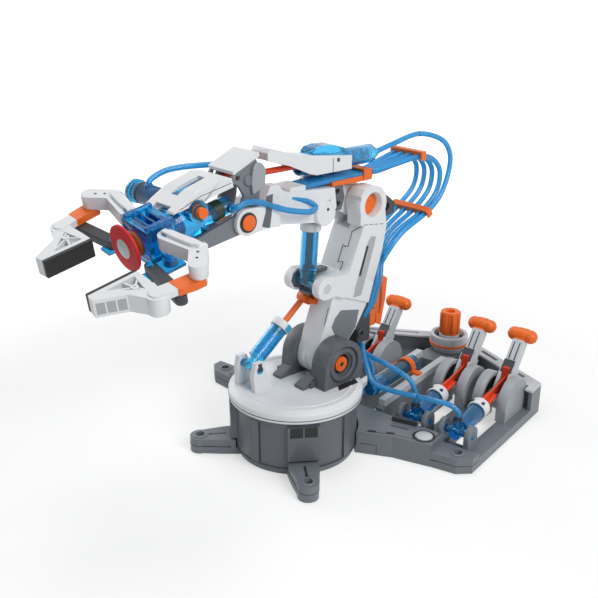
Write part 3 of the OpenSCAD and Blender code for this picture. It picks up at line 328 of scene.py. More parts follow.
def prism(name, axes, outline, along, low, high, material, body=None, edge=0.25):
    # An outline in millimetres, in two axes of its frame, drawn out along the third one between two heights.
    builder = bmesh.new()
    first, second = [i for i in range(3) if i != along]
    ends = []
    for height in sorted((low, high)):
        ring = []
        for p in outline:
            place = Vector((0, 0, 0))
            place[along], place[first], place[second] = height, p[0], p[1]
            ring.append(builder.verts.new(axes @ place))
        ends.append(ring)
    builder.faces.new(ends[0][::-1])
    builder.faces.new(ends[1])
    for i in range(len(outline)):
        j = (i + 1) % len(outline)
        builder.faces.new((ends[0][i], ends[0][j], ends[1][j], ends[1][i]))
    return new_piece(name, builder, material, body, edge / 1000)


orange_abs = moulded_abs("orange_moulded_abs", "#f46c08")
ROW = (-1.5, -0.5, 0.5, 1.5)
ROW_SHIFT = 3
COMB_PITCH = 8
COMB_LEFT = -19
COMB_TOP = 4.2
COMB_FOOT = -2.6
COMB_HALF = 2.6
COMB_MOUTH = [(-2.5, COMB_FOOT), (-2.5, 1.2), (-1.2, 2.4), (1.2, 2.4), (2.5, 1.2), (2.5, COMB_FOOT)]
COMB_ROW = [COMB_PITCH * a - ROW_SHIFT for a in ROW]
WRIST_HOSE = 14
# Each comb: its place in the arm, its tilt in degrees, where its mouths are across it, and its near end.
COMBS = {"hose_comb_upper": ((-119, 0, 206), 2, COMB_ROW, 13),
         "hose_comb_lower": ((-124, 0, 162), 29, COMB_ROW + [WRIST_HOSE], 18)}
LOOP_START = ARM @ Vector((-79, 0, 125))
LOOP_END = ARM @ Vector((-79, 0, 195))
combs = []
for name, (place, tilt, mouths, near_end) in COMBS.items():
    outline = [(near_end, COMB_TOP), (COMB_LEFT, COMB_TOP), (COMB_LEFT, COMB_FOOT)]
    for x in mouths:
        outline += [(x + across, up) for across, up in COMB_MOUTH]
    outline.append((near_end, COMB_FOOT))
    comb = prism(name, pitched(math.radians(tilt), place), outline, X, -COMB_HALF, COMB_HALF, orange_abs)
    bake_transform(comb)
    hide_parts("hose_clips")
    combs.append(comb)

# Hoses on the arm
# Four vinyl hoses leave the guide behind the upper arm in a bundle, swing out in a flat row through the combs
# and come back over the elbow, where they run forward side by side under the orange clip.
# The row opens bit by bit from the bundle to the combs, and closes again to the forearm's pitch.
BUNDLE = ((-63.6, -7.2), (-60.4, -4.8), (-63.6, -2.4), (-60.4, -0.4))
FORE_PITCH = 4.2
FORE_SHIFT = 4
FORE_RUN = [(-72, 200.2), (-50, 200.2), (-30, 200.2), (-14, 200), (-2, 199.4)]
for number, (a, (tail, tail_across)) in enumerate(zip(ROW, BUNDLE), 1):
    row = COMB_PITCH * a - ROW_SHIFT
    fore = FORE_PITCH * a - FORE_SHIFT
    loop = [(tail, tail_across, 86), (tail - 3.4, tail_across, 97),
            (-74, 0.8 * tail_across + 0.4 * a - 1.6, 106), (-79, 4.4 * a - 2, 119), (-84, 5 * a, 138),
            (-98, 6 * a - 1, 151), (-124, row, 162), (-141, row, 175), (-144, row, 191), (-134, row, 202),
            (-119, row, 206), (-98, 6 * a - 4, 203), (-80, 4.4 * a - 4, 200), (-72.6, fore, 200.2)]
    hose(f"hose_loop_{number}", smooth_route(ARM, loop), ("upper_arm", "forearm"), LOOP_START, LOOP_END,
         "hose_loop", combs if number == 1 else ())
    run = [(along, fore, up) for along, up in FORE_RUN]
    hose(f"hose_fore_{number}", smooth_route(ARM, run), ("forearm",), stands_for="hose_fore")

# Down the arm's near edge: two hoses leave the loop and run beside the orange bracket into the guide.
for number, back in enumerate((0, 3.8), 1):
    drop = [(-82 - back / 4, 6 + back / 4, 137), (-74.4 - back, 10.4, 128), (-70.6 - back, 13.3, 121),
            (-67.2 - back, 13.3, 111), (-64.8 - back, 13.3, 103), (-61.6 - back / 2, 12.6, 96),
            (-59.6 - back / 2, 10.6, 91)]
    hose(f"hose_drop_{number}", smooth_route(ARM, drop), ("upper_arm",))

# To the wrist cylinder: one hose from the orange bracket, outside the row, to the cylinder's rear nipple.
# It is cut at its third place, where it leaves the cylinder's own swing.
WRIST_ROUTE = [
    (-83.5, -4, 212.4), (-100, -3, 216), (-124, 2, 221.6), (-145, 8, 215.5), (-153, 11, 203), (-149, 13, 187),
    (-139, WRIST_HOSE, 172), (-124, WRIST_HOSE, 162), (-98, 13, 151), (-84, 11.4, 138), (-77, 9, 126),
    (-72.5, 6.5, 114)]
line = smooth_route(ARM, WRIST_ROUTE)
cut = 2 * HOSE_STEPS
hose("hose_wrist_nipple", line[:cut + 1], ("wrist_cylinder", "forearm"), stands_for="hose_wrist")
hose("hose_wrist_return", line[cut:], ("upper_arm", "forearm"), LOOP_START, LOOP_END, "hose_wrist")

# To the hand: a short loop from the forearm's near side to the roll drive, and one over its far cylinder.
HAND_PITCH = math.radians(12)
WRIST_PIVOT = (52, -4, 188)
HAND = pitched(HAND_PITCH, WRIST_PIVOT)
GRIP_LOOP = [
    (20, 2, 199.5), (9.5, 5, 195.6), (-0.5, 5.8, 192.4), (-7.2, 7.4, 189.6), (-8.8, 11, 187), (-2.4, 15, 186),
    (6.9, 16, 187.4), (21.2, 16, 191.2), (31.4, 14.6, 195.2), (43.2, 13.6, 200), (53, 14, 201.6),
    (60, 13.6, 200), (62.4, 10, 198.5)]
GRIP_BEND = (ARM @ Vector((24, 0, 194)), ARM @ Vector((56, 0, 198)))
FAR_RUN = [(34, -36, 27), (31, -37.4, 31), (20, -37, 33), (8, -34, 32), (-4, -28, 30), (-14, -19, 28.6),
           (-17, -11, 28)]
hose("hose_grip_loop", smooth_route(ARM, GRIP_LOOP), ("forearm", "wrist"), *GRIP_BEND)
hose("hose_far_run", smooth_route(HAND, FAR_RUN), ("wrist",))

# Base drum
# A drum moulded in grey ABS, with a rim band, four flat ribs and two socket blocks with twin mouths.
# It stands in the frame's ring and holds the turntable's bearing.
CREASE = math.radians(35)
SEAM_SIDES = 6
SHADE_PLATE_SUNK = 0.1


def turned(name, axes, centre, along, profile, material, body, sides=48):
    # A profile of (radius, height) in millimetres, turned about one axis of its frame.
    builder = bmesh.new()
    first, second = [i for i in range(3) if i != along]
    rings = []
    for radius, height in profile:
        ring = []
        for i in range(sides if radius else 1):
            turn = 2 * math.pi * i / sides
            place = Vector(centre)
            place[along] += height
            place[first] += radius * math.cos(turn)
            place[second] += radius * math.sin(turn)
            ring.append(builder.verts.new(axes @ place))
        rings.append(ring)
    closed = profile[0][0] > 0 and profile[-1][0] > 0
    for a, b in zip(rings, rings[1:] + rings[:1] if closed else rings[1:]):
        for i in range(sides):
            j = (i + 1) % sides
            corners = [a[i % len(a)], a[j % len(a)], b[j % len(b)], b[i % len(b)]]
            face = builder.faces.new(list(dict.fromkeys(corners)))
            face.smooth = True
    piece = new_piece(name, builder, material, body)
    piece.data.set_sharp_from_angle(angle=CREASE)


def seam(name, axes, places, body, width=0.5):
    # The fine dark gap where two mouldings meet, or painted shade beside a rib, with its width in millimetres.
    line = [axes @ Vector(p) for p in places]
    new_piece(name, swept_tube(line, width / 2000, SEAM_SIDES), dark_and_shade, body)


def soften(nodes, material, width=0.45):
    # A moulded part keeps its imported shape; its edges get the small round that the mould's polishing leaves.
    for name in nodes:
        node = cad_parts[name]
        node.data.materials.clear()
        node.data.materials.append(material)
        if width:
            weld = node.modifiers.new("joined_faces", "WELD")
            weld.merge_threshold = 0.00001
            rounding = round_edges(node, width / 1000)
            rounding.angle_limit = math.radians(40)
            rounding.harden_normals = True


def rectangle(left, right, low, high):
    return [(left, low), (right, low), (right, high), (left, high)]


def shade_plate(name, axes, outline, along, face, body, proud=0.07, edge=0.02):
    # A hole or slot whose inside lies in shade, drawn as a thin black plate of painted shade that is let
    # into a face and stands a hair proud of it.
    prism(name, axes, outline, along, face - SHADE_PLATE_SUNK, face + proud, black_and_shade, body, edge)


grey_abs = moulded_abs("grey_moulded_abs", "#747a81")
drum_abs = moulded_abs("drum_grey_moulded_abs", "#62676d")
# Dark grey ABS for the guides, links, seams, wall and gear teeth; the same dark grey is painted shade at the
# plinth, beside the ribs, in the flutes and notches and at the levers' feet.
dark_and_shade = moulded_abs("dark_grey_abs_and_painted_shade", "#34373c", 0.45)
# Black ABS for the nipple clamps; the same black is painted shade in holes, bores, slots, wells and notches.
black_and_shade = moulded_abs("black_abs_and_painted_shade", "#0e0f11", 0.5)
DRUM_CENTRE = (0, 0, 0)
DRUM_SIDES = 96
RIM_BAND = [(46.0, 39.9), (47.2, 40.3), (47.2, 43.0), (46.0, 43.4)]
PLINTH_SHADE = [(45.8, 5.4), (46.75, 5.5), (46.75, 6.5), (45.8, 6.6)]
SOCKET_FACE = 49.5
SOCKET_HEIGHTS = (32.9, 40.9)
SOCKET_MIDDLE = 5.1
SOCKET_HALF = 4.6
FRONT_FEET = (-45, -135)
RIB_COUNT = 4
RIB_HALF = math.radians(4.9)
RIB_RADIUS = 46.7
RIB_HEIGHTS = (7, 39.6)
PAIR = {"a": -1, "b": 1}
soften(["base_drum"], drum_abs)
soften(["base_frame"], grey_abs)
turned("drum_rim_band", DECK, DRUM_CENTRE, Z, RIM_BAND, drum_abs, "base", sides=DRUM_SIDES)
# The socket blocks' twin mouths are black plates of painted shade.
for number, turn in enumerate(FRONT_FEET, 1):
    axes = DECK @ Matrix.Rotation(math.radians(turn), 4, "Z")
    for label, s in PAIR.items():
        mouth = rectangle(s * SOCKET_MIDDLE - SOCKET_HALF, s * SOCKET_MIDDLE + SOCKET_HALF, *SOCKET_HEIGHTS)
        shade_plate(f"socket_mouth_shade_{number}{label}", axes, mouth, X, SOCKET_FACE, "base", proud=0.12, edge=0.05)
# Painted shade: a dark band where the plinth is set back, and dark lines beside the edges of each rib.
turned("drum_plinth_shade", DECK, DRUM_CENTRE, Z, PLINTH_SHADE, dark_and_shade, "base", sides=DRUM_SIDES)
for number in range(RIB_COUNT):
    for label, s in PAIR.items():
        turn = 2 * math.pi * number / RIB_COUNT + s * RIB_HALF
        foot = (RIB_RADIUS * math.cos(turn), RIB_RADIUS * math.sin(turn))
        edge = [(*foot, height) for height in RIB_HEIGHTS]
        seam(f"drum_rib_shade_{number + 1}{label}", DECK, edge, "base", width=0.8)


# Feet and wings
# The frame's feet and side wings are moulded with the deck, in grey ABS. A split line runs round each tip and
# screws go through the bossed holes; each wing also has notches, a low wall and a round pale cap.
def arc(centre, radius, start, end, steps):
    # Places on a round stretch, from one turn to another in degrees.
    turns = [math.radians(start + (end - start) * i / steps) for i in range(steps + 1)]
    return [(centre[0] + radius * math.cos(t), centre[1] + radius * math.sin(t)) for t in turns]


def mirrored(places, side, across):
    # The same places on the side that 1 or -1 says, with one axis turned about.
    return [tuple(side * v if i == across else v for i, v in enumerate(p)) for p in places]


pale_abs = moulded_abs("pale_grey_moulded_abs", "#cfd3d7")
FOOT_HOLE = (72.5, 0)
FOOT_TOP = 12
HOLE_FLOOR = 4
SPLIT_HEIGHT = 6.2
FOOT_TIP_RADIUS = 7.66
FOOT_FLANK = [(50, 11.3), (56.5, 10.1)]
FOOT_OUTLINE = mirrored(FOOT_FLANK, -1, Y) + arc(FOOT_HOLE, FOOT_TIP_RADIUS, -90, 90, 12) + FOOT_FLANK[::-1]
FOOT_BOSS = [(3.3, -0.3), (5.6, -0.3), (5.6, 0.4), (4.9, 0.7), (3.3, 0.7)]
KEYHOLE = [(53, -0.8), (64, -0.8), (65.2, -1.6), (66.4, 0), (65.2, 1.6), (64, 0.8), (53, 0.8)]
SCREW_HOLE = rectangle(0, 3.15, 0, 0.3)
# The keyholes and the screw holes are black plates of painted shade.
for number, turn in enumerate(FRONT_FEET, 1):
    axes = DECK @ Matrix.Rotation(math.radians(turn), 4, "Z")
    seam(f"foot_seam_{number}", axes, [(*p, SPLIT_HEIGHT) for p in FOOT_OUTLINE], "base")
    turned(f"foot_boss_{number}", axes, (*FOOT_HOLE, FOOT_TOP), Z, FOOT_BOSS, grey_abs, "base")
    shade_plate(f"foot_keyhole_shade_{number}", axes, KEYHOLE, Z, FOOT_TOP, "base")
    turned(f"foot_hole_shade_{number}", axes, (*FOOT_HOLE, HOLE_FLOOR), Z, SCREW_HOLE, black_and_shade, "base")

WING_TOP = 18
WING_CAP = (88, 41, WING_TOP)
WING_HOLE = (114, 45)
# The well round each cap, the screw holes, the slots and the notches are black plates of painted shade.
WING_ROUNDS = {
    "wing_cap": (WING_CAP, pale_abs, [(0, -0.4), (6.4, -0.4), (6.4, 0.7), (5.5, 1.4), (0, 1.7)]),
    "wing_boss": ((*WING_HOLE, FOOT_TOP), grey_abs,
                  [(3.3, -0.3), (5.4, -0.3), (5.4, 0.4), (4.8, 0.7), (3.3, 0.7)]),
    "wing_cap_well_shade": (WING_CAP, black_and_shade, rectangle(6.3, 8.8, 0.02, 0.1)),
    "wing_hole_shade": ((*WING_HOLE, HOLE_FLOOR), black_and_shade, SCREW_HOLE),
}
WING_SEAMS = {
    "wing_seam": [
        (50, 21.4, WING_TOP), (69.4, 29.6, WING_TOP), (95.6, 35.4, WING_TOP), (95.6, 51, WING_TOP)],
    "wing_tip_seam": [
        (98, 33.2, SPLIT_HEIGHT), (118, 36, SPLIT_HEIGHT), (127, 44, SPLIT_HEIGHT), (127, 53, SPLIT_HEIGHT)],
    "wing_panel_seam": [(48, 17.7, 8.5), (59, 22.3, 8.5), (59, 22.3, 1.5)],
}
WING_WALL = [(57, 46), (76, 49.6), (76, 52.2), (57, 48.6)]
WING_SLOT = [(60, 39), (74, 42), (74, 43.4), (60, 40.4)]
WING_NOTCH = [(-2.7, -1.32), (2.7, 1.32), (1.4, 4), (-4, 1.36)]
WALL_HEIGHTS = (17.8, 21.8)
NOTCH_HEIGHTS = (14.6, 18.07)
NOTCH_PLACES = {"a": (54.4, 22.5), "b": (66.6, 28.4)}
for side, s in (("right", 1), ("left", -1)):
    for name, (centre, material, profile) in WING_ROUNDS.items():
        turned(f"{name}_{side}", DECK, mirrored([centre], s, X)[0], Z, profile, material, "base")
    for name, places in WING_SEAMS.items():
        seam(f"{name}_{side}", DECK, mirrored(places, s, X), "base")
    prism(f"wing_wall_{side}", DECK, mirrored(WING_WALL, s, X), Z, *WALL_HEIGHTS, dark_and_shade, "base", edge=0.3)
    shade_plate(f"wing_slot_shade_{side}", DECK, mirrored(WING_SLOT, s, X), Z, WING_TOP, "base")
    for label, (x, y) in NOTCH_PLACES.items():
        notch = mirrored([(x + dx, y + dy) for dx, dy in WING_NOTCH], s, X)
        prism(f"wing_notch_shade_{side}_{label}", DECK, notch, Z, *NOTCH_HEIGHTS, black_and_shade, "base", edge=0.03)

# Deck
# Pale rails cap the deck's back walls and flank the knob's cylinder, which an orange clip holds down.
# Half-round cheeks of light grey ABS, moulded in pairs, carry the levers; the well between them is drawn
# black as painted shade.
light_abs = moulded_abs("light_grey_moulded_abs", "#a3a8ad")
LANES = (105, 69, -13, -49)
LEVER_PIVOT = (131, 18)
LEVERS = range(1, len(LANES) + 1)
WELL_RADIUS = 16.7
WELL_FACES = (8.2, 8.45)
CHEEK_WELL_SHADE = arc(LEVER_PIVOT, WELL_RADIUS, 0, 180, 15)
soften(["deck_rails"], pale_abs)
soften(["lever_cheeks"], light_abs)
soften(["barrel_clip"], orange_abs)
for number, x in zip(LEVERS, LANES):
    for label, s in PAIR.items():
        faces = [x + s * face for face in WELL_FACES]
        prism(f"cheek_well_shade_{number}{label}", DECK, CHEEK_WELL_SHADE, X, *faces, black_and_shade, "base", edge=0.02)

# Knob
# The orange knob, moulded in ABS, turns on its shaft in a round housing on the deck.
# The housing has a recess with gear teeth round the knob, its floor drawn black as painted shade, and an
# orange ring at its foot.
KNOB = (28, 187, 0)
FOOT_RING = [(16.2, 26.1), (17.3, 26.3), (17.3, 27.8), (16.2, 28.0)]
GEAR_RECESS_SHADE = rectangle(9.3, 13.2, 30.0, 30.5)
GEAR_TOOTH = [(9.4, -0.8), (11.4, -0.4), (11.4, 0.4), (9.4, 0.8)]
GEAR_HEIGHTS = (30.4, 32.6)
GEAR_TEETH = 16
soften(["knob"], orange_abs)
turned("knob_gear_recess_shade", DECK, KNOB, Z, GEAR_RECESS_SHADE, black_and_shade, "base")
turned("knob_foot_ring", DECK, KNOB, Z, FOOT_RING, orange_abs, "base", sides=64)
for i in range(GEAR_TEETH):
    axes = DECK @ Matrix.Translation(KNOB) @ Matrix.Rotation(2 * math.pi * i / GEAR_TEETH, 4, "Z")
    prism(f"knob_gear_tooth_{i + 1}", axes, GEAR_TOOTH, Z, *GEAR_HEIGHTS, dark_and_shade, "base", edge=0.1)

# Levers
# Pale fluted levers, moulded in ABS, lean back on the cheeks' pivots; their flutes are dark strips of
# painted shade. Each has a dark block of painted shade in front of its foot, and an orange T-handle with a
# raised band round the middle, pressed on its end.
LEVER_LEAN = math.radians(-39)
LEVER_FOOT_SHADE = [(-7.8, 20.6), (-6.6, 19.4), (-6.6, 31), (-7.3, 31)]
LEVER_SHADE_HALF = 4.6
FLUTE = [(-0.55, 32), (0.55, 32), (0.45, 47), (-0.45, 47)]
FLUTE_MIDDLE = 2.3
FLUTE_FACES = (-5.1, -4.9)
HANDLE_HEIGHT = 55
HANDLE_BAND = [(5.2, -4.4), (6.05, -3.6), (6.05, 3.6), (5.2, 4.4)]
soften([f"lever_{i}" for i in LEVERS], pale_abs)
soften([f"handle_{i}" for i in LEVERS], orange_abs, width=0)
for number, x in zip(LEVERS, LANES):
    body = f"lever_{number}"
    axes = DECK @ Matrix.Translation((x, *LEVER_PIVOT)) @ Matrix.Rotation(LEVER_LEAN, 4, "X")
    prism(f"lever_foot_shade_{number}", axes, LEVER_FOOT_SHADE, X, -LEVER_SHADE_HALF, LEVER_SHADE_HALF, dark_and_shade, body)
    for label, s in PAIR.items():
        flute = [(s * FLUTE_MIDDLE + across, up) for across, up in FLUTE]
        prism(f"lever_flute_shade_{number}{label}", axes, flute, Y, *FLUTE_FACES, dark_and_shade, body, edge=0.03)
    turned(f"handle_saddle_{number}", axes, (0, 0, HANDLE_HEIGHT), X, HANDLE_BAND, orange_abs, body)

# Control cylinders
# Syringe barrels moulded in clear blue styrene, with white collars, red plungers and black rubber pistons.
# They lie between the deck's lugs, and a black clamp holds each hose on its nipple.
RUBBER_BLOOM = 0.004


def rubber(name, colour):
    # Moulded rubber: matt, with a dusty bloom that shifts its tone a little.
    material, tree, place = new_finish(name)
    bloom = add(tree, "TexNoise", {"Vector": place, "Scale": 1 / RUBBER_BLOOM, "Detail": 4.0}).outputs["Fac"]
    tone = add(tree, "Mix", {0: bloom, 6: linear(colour, 0.85), 7: linear(colour)}, data_type="RGBA")
    bump = add(tree, "Bump", {"Height": bloom, "Strength": 0.3, "Distance": 0.00005})
    skin = add(tree, "BsdfPrincipled", {
        "Base Color": tone.outputs[2], "Roughness": 0.62, "IOR": 1.5, "Normal": bump.outputs["Normal"]})
    add(tree, "OutputMaterial", {"Surface": skin.outputs[0]})
    return material


blue_styrene = clear_plastic("blue_moulded_styrene", "#3fc8fa", 0.76, 0.03)
deep_styrene = clear_plastic("deep_blue_moulded_styrene", "#2cb0ee", 0.84, 0.03)
white_abs = moulded_abs("white_moulded_abs", "#eceef0")
red_abs = moulded_abs("red_moulded_abs", "#e64216")
green_abs = moulded_abs("dark_green_moulded_abs", "#06230f")
black_rubber = rubber("black_nitrile_rubber", "#101113")
BARREL_START = (60, 20)
BARREL_SLOPE = math.radians(7 - 90)
NIPPLE = (60, 29.6)
SEAL = [(3.2, 0), (4.8, 0), (5.06, 0.5), (4.7, 1.2), (5.06, 1.9), (4.8, 2.6), (3.2, 2.6)]
SEAL_PLACE = (0, 0, 28.2)
PISTON = [(0, 0), (4.3, 0), (4.9, 0.8), (4.9, 4.6), (0, 4.6)]
PISTON_PLACE = (0, 0, 23.4)
CLAMP = [(2.2, 0), (3.5, 0), (3.2, 2.2), (2.2, 2.4)]
COLLAR_SLIT = rectangle(2.2, 5.2, 31.6, 34.4)
COLLAR_SKIN = (-7.2, -5.7)
MIDDLE_PLUNGER = rectangle(0, 4.4, 0, 36)
MIDDLE_PLACE = (28, 82, 30)
soften(["control_barrels"], deep_styrene, width=0)
soften(["barrel_collars"], white_abs)
soften([f"plunger_{i}" for i in LEVERS], red_abs, width=0.15)
for number, x in zip(LEVERS, LANES):
    body = f"plunger_{number}"
    axes = DECK @ Matrix.Translation((x, *BARREL_START)) @ Matrix.Rotation(BARREL_SLOPE, 4, "X")
    turned(f"plunger_seal_{number}", axes, SEAL_PLACE, Z, SEAL, black_rubber, body)
    turned(f"plunger_head_{number}", axes, PISTON_PLACE, Z, PISTON, black_rubber, body)
    turned(f"nipple_clamp_{number}", DECK, (x, *NIPPLE), Z, CLAMP, black_and_shade, "base")
    # The slits in each collar are black plates of painted shade.
    for label, s in PAIR.items():
        slit = mirrored(COLLAR_SLIT, s, X)
        prism(f"collar_slot_shade_{number}{label}", axes, slit, Y, *COLLAR_SKIN, black_and_shade, "base", edge=0.05)
turned("middle_plunger", DECK, MIDDLE_PLACE, Y, MIDDLE_PLUNGER, green_abs, "base")

# Turntable
# A white disc moulded in ABS, with a parting line round its rim and a raised ring on top. It carries the
# clevis of the shoulder cylinder, which is notched for the cylinder's stubs.
RIM_RADIUS = 50.02
RIM_HEIGHT = 46
RIM_LINE = [(*p, RIM_HEIGHT) for p in arc((0, 0), RIM_RADIUS, 0, 360, DRUM_SIDES)]
TOP_RING = [(40.6, -0.2), (41.0, 0.45), (42.0, 0.45), (42.4, -0.2)]
TURNTABLE_TOP = 53
SQUARE_HOLE = rectangle(20, 27, -19, -11)
FOOT_SLOT = [(-34, 28.5), (-16.5, 28.5), (-12.6, 33.6), (-32, 33.6)]
CLEVIS_NOTCH = rectangle(29.3, 32.7, 68.6, 75.4)
CLEVIS_FACES = {"near": (-3.5, -3.3), "far": (-26.7, -26.5)}
soften(["turntable"], white_abs)
seam("turntable_rim_line", DECK, RIM_LINE, "turntable", width=0.6)
turned("turntable_ring", DECK, (0, 0, TURNTABLE_TOP), Z, TOP_RING, white_abs, "turntable", sides=DRUM_SIDES)
# The square hole and the slot in the top, and the notches in the clevis, are dark plates of painted shade.
shade_plate("turntable_square_hole_shade", ARM, SQUARE_HOLE, Z, TURNTABLE_TOP, "turntable", proud=0.08, edge=0.03)
shade_plate("turntable_foot_slot_shade", ARM, FOOT_SLOT, Z, TURNTABLE_TOP, "turntable", proud=0.55, edge=0.03)
for side, faces in CLEVIS_FACES.items():
    prism(f"clevis_notch_shade_{side}", ARM, CLEVIS_NOTCH, Y, *faces, dark_and_shade, "turntable", edge=0.03)

# Shoulder
# Pillow blocks moulded in slate-grey ABS, fixed to the turntable, with stepped faces and sloping feet.
# They hold the orange pin, which has a raised lip and a drilled end.
slate_abs = moulded_abs("slate_moulded_abs", "#5a5e64", 0.45)
SHOULDER = (-23, 0, 68)
SHOULDER_STEP = [(9.6, 25.3), (9.6, 27.0), (10.0, 27.4), (12.4, 27.4), (13.0, 26.8), (13.0, 25.3)]
PIN_BORE_SHADE = rectangle(0, 1.7, 24.9, 25.12)
PIN_LIP = [(1.8, 24.9), (3.8, 24.9), (3.6, 25.7), (2.1, 25.7)]
BORE_SHADE = rectangle(5.8, 7.9, 20.9, 21.4)
BLOCK_FOOT = [(7.4, 53), (7.4, 55.2), (2, 57.4), (-6, 61.5), (-6, 53)]
BLOCK_FACES = {"near": (6.8, 16.4), "far": (-17.4, -8.8)}
soften(["shoulder_cheeks"], slate_abs)
soften(["shoulder_pin", "shoulder_rod"], orange_abs, width=0.3)
turned("shoulder_step", ARM, SHOULDER, Y, SHOULDER_STEP, slate_abs, "turntable", sides=64)
# The drilled end of the pin is a black disc of painted shade.
turned("shoulder_pin_bore_shade", ARM, SHOULDER, Y, PIN_BORE_SHADE, black_and_shade, "turntable")
turned("shoulder_pin_lip", ARM, SHOULDER, Y, PIN_LIP, orange_abs, "turntable")
turned("shoulder_bore_shade", ARM, SHOULDER, Y, BORE_SHADE, black_and_shade, "turntable")
for side, faces in BLOCK_FACES.items():
    prism(f"shoulder_foot_{side}", ARM, BLOCK_FOOT, Y, *faces, slate_abs, "turntable", edge=0.3)

# Shoulder cylinder
# A syringe of clear blue styrene, pinned in the turntable's clevis. Its white collar has two blue tabs, and
# its orange rod carries a black rubber seal and runs up to a pivot on the upper arm.
SIDES = {"near": 1, "far": -1}


def paired(name, axes, outline, faces, material, body, edge):
    # The same plate on the near and the far side, between two faces measured from the middle.
    for side, s in SIDES.items():
        prism(f"{name}_{side}", axes, outline, Y, s * faces[0], s * faces[1], material, body, edge)


SHOULDER_CLEVIS = (31, -15, 70)
SHOULDER_RUN = (-53, 40)
SHOULDER_TILT = math.atan2(-SHOULDER_RUN[1], SHOULDER_RUN[0])
SHOULDER_SEAL_PLACE = (31.2, 0, 0)
SHOULDER_SEAL = [(radius - 1.5, height) for radius, height in SEAL]
SHOULDER_TAB = rectangle(35.4, 40.4, -2, 2)
TAB_FACES = (7.4, 8.9)
axes = pitched(SHOULDER_TILT, SHOULDER_CLEVIS)
soften(["shoulder_barrel"], blue_styrene, width=0)
soften(["shoulder_collar"], white_abs, width=0.3)
turned("shoulder_seal", axes, SHOULDER_SEAL_PLACE, X, SHOULDER_SEAL, black_rubber, "shoulder_rod")
paired("shoulder_collar_tab", axes, SHOULDER_TAB, TAB_FACES, blue_styrene, "shoulder_cylinder", edge=0.3)

# Upper arm
# Two half shells moulded in white ABS, joined along a stepped seam. A dark insert closes the window and dark
# ribs stiffen the far lug; dark guides lead the hoses, and an orange bracket stands at the back.
# Darker copies of the white and the orange ABS: painted shade in the recesses, the groove and the finger
# panels.
white_painted_shade = moulded_abs("white_abs_painted_shade", "#b0b4b8")
orange_abs_painted_shade = moulded_abs("orange_abs_painted_shade", "#a03c0e")
# Painted shade: the bracket's groove, the recesses on the arm and the column, the plate on the far lug's inner
# face and the slit.
# Each plate: its far and near face across the arm, its material, the round of its edges and its outline.
ARM_PLATES = {
    "bracket_back": (4.6, 10.6, orange_abs, 0.5, [
        (-74.6, 121.4), (-77, 122.4), (-86, 116.4), (-84.6, 100), (-80, 78.6), (-74.6, 81.4)]),
    "bracket_groove_shade": (10.5, 10.7, orange_abs_painted_shade, 0.02, [
        (-77.4, 116.5), (-79.6, 117.6), (-80.4, 100), (-78.4, 89), (-76.6, 89.6), (-77.4, 100)]),
    "upper_arm_recess_shade": (13.8, 14.06, white_painted_shade, 0.02, [
        (-62, 155.6), (-67.6, 154.4), (-66, 148), (-53.4, 111.4), (-45, 111.4), (-46.7, 119.1),
        (-58.3, 150.5)]),
    "column_recess_shade": (12.3, 12.56, grey_abs, 0.02, [
        (-24.5, 93), (-28, 99.4), (-34, 104), (-53, 99.4), (-50, 86.5), (-41.7, 77.5), (-28.5, 84.5)]),
    "window_insert": (-6, 4, slate_abs, 0.25, [
        (-31.2, 88.2), (-35.2, 102.7), (-51.6, 97.9), (-42.9, 88.2)]),
    "hose_trough": (-9.4, 0.9, dark_and_shade, 0.4, [
        (-62.4, 102.4), (-50.6, 84.8), (-53, 71.3), (-66, 71.3), (-66, 95)]),
    "far_lug_inner_shade": (-14.1, -13.5, slate_abs, 0.1, [
        (-8.2, 126), (-10.4, 131.4), (-16, 133.6), (-38, 131.4), (-33, 115), (-26, 118.6), (-18, 118.4),
        (-11, 120.8)]),
    "far_lug_rib_upper": (-14, -7, slate_abs, 0.25, [
        (-24.5, 133), (-39, 131.8), (-38, 129.4), (-24.5, 130.4)]),
    "far_lug_rib_lower": (-14, -3, slate_abs, 0.25, [
        (-16, 118.2), (-26, 118), (-30, 116.4), (-30, 113.8), (-24, 115), (-16, 115.8)]),
}
ARM_FACE = 14
ARM_SLIT = [(-59.9, 148.6), (-57.6, 149), (-50.2, 127.4), (-52.4, 126.8)]
SHELL_JOINT = [
    (-54.3, 12.1, 164.4), (-52, 4.5, 159.3), (-47.4, 5.2, 148.9), (-47.1, 2, 148.2), (-47.5, -0.2, 149),
    (-42.7, 0.1, 138.1), (-42.1, -0.4, 136.7), (-42.6, 5, 138), (-38.9, 4.8, 129.4)]
COLUMN_JOINT = [(-23.2, 10.3, 108.4), (-18.4, 11.4, 96.6)]
DASH_COUNT = 4
DASH_START = (-54.5, 14.02, 165.6)
DASH_STEP = (-5.6, 0, -0.8)
DASH_RUN = (-3.6, 0, -0.5)
GUIDE_BOSS_PLACE = (-55, 12.4, 80)
GUIDE_BOSS = [(1.8, -0.3), (3.5, -0.3), (3.5, 1.3), (3.1, 1.7), (1.8, 1.7)]
LUG = (-16, 0, 126)
LUG_PLUG = [(0, 15.52), (3.4, 15.52), (3.4, 15.75), (2.6, 15.95), (0, 15.8)]
LUG_RIM = [(3.5, 15.8), (5.6, 15.8), (5.2, 16.35), (3.7, 16.35)]
soften(["upper_arm_near", "upper_arm_far"], white_abs)
soften(["hose_guides"], dark_and_shade)
soften(["hose_bracket"], orange_abs)
for name, (low, high, material, edge, outline) in ARM_PLATES.items():
    prism(name, ARM, outline, Y, low, high, material, "upper_arm", edge)
shade_plate("upper_arm_slit_shade", ARM, ARM_SLIT, Y, ARM_FACE, "upper_arm", proud=0.12)
seam("upper_arm_joint", ARM, SHELL_JOINT, "upper_arm", width=0.7)
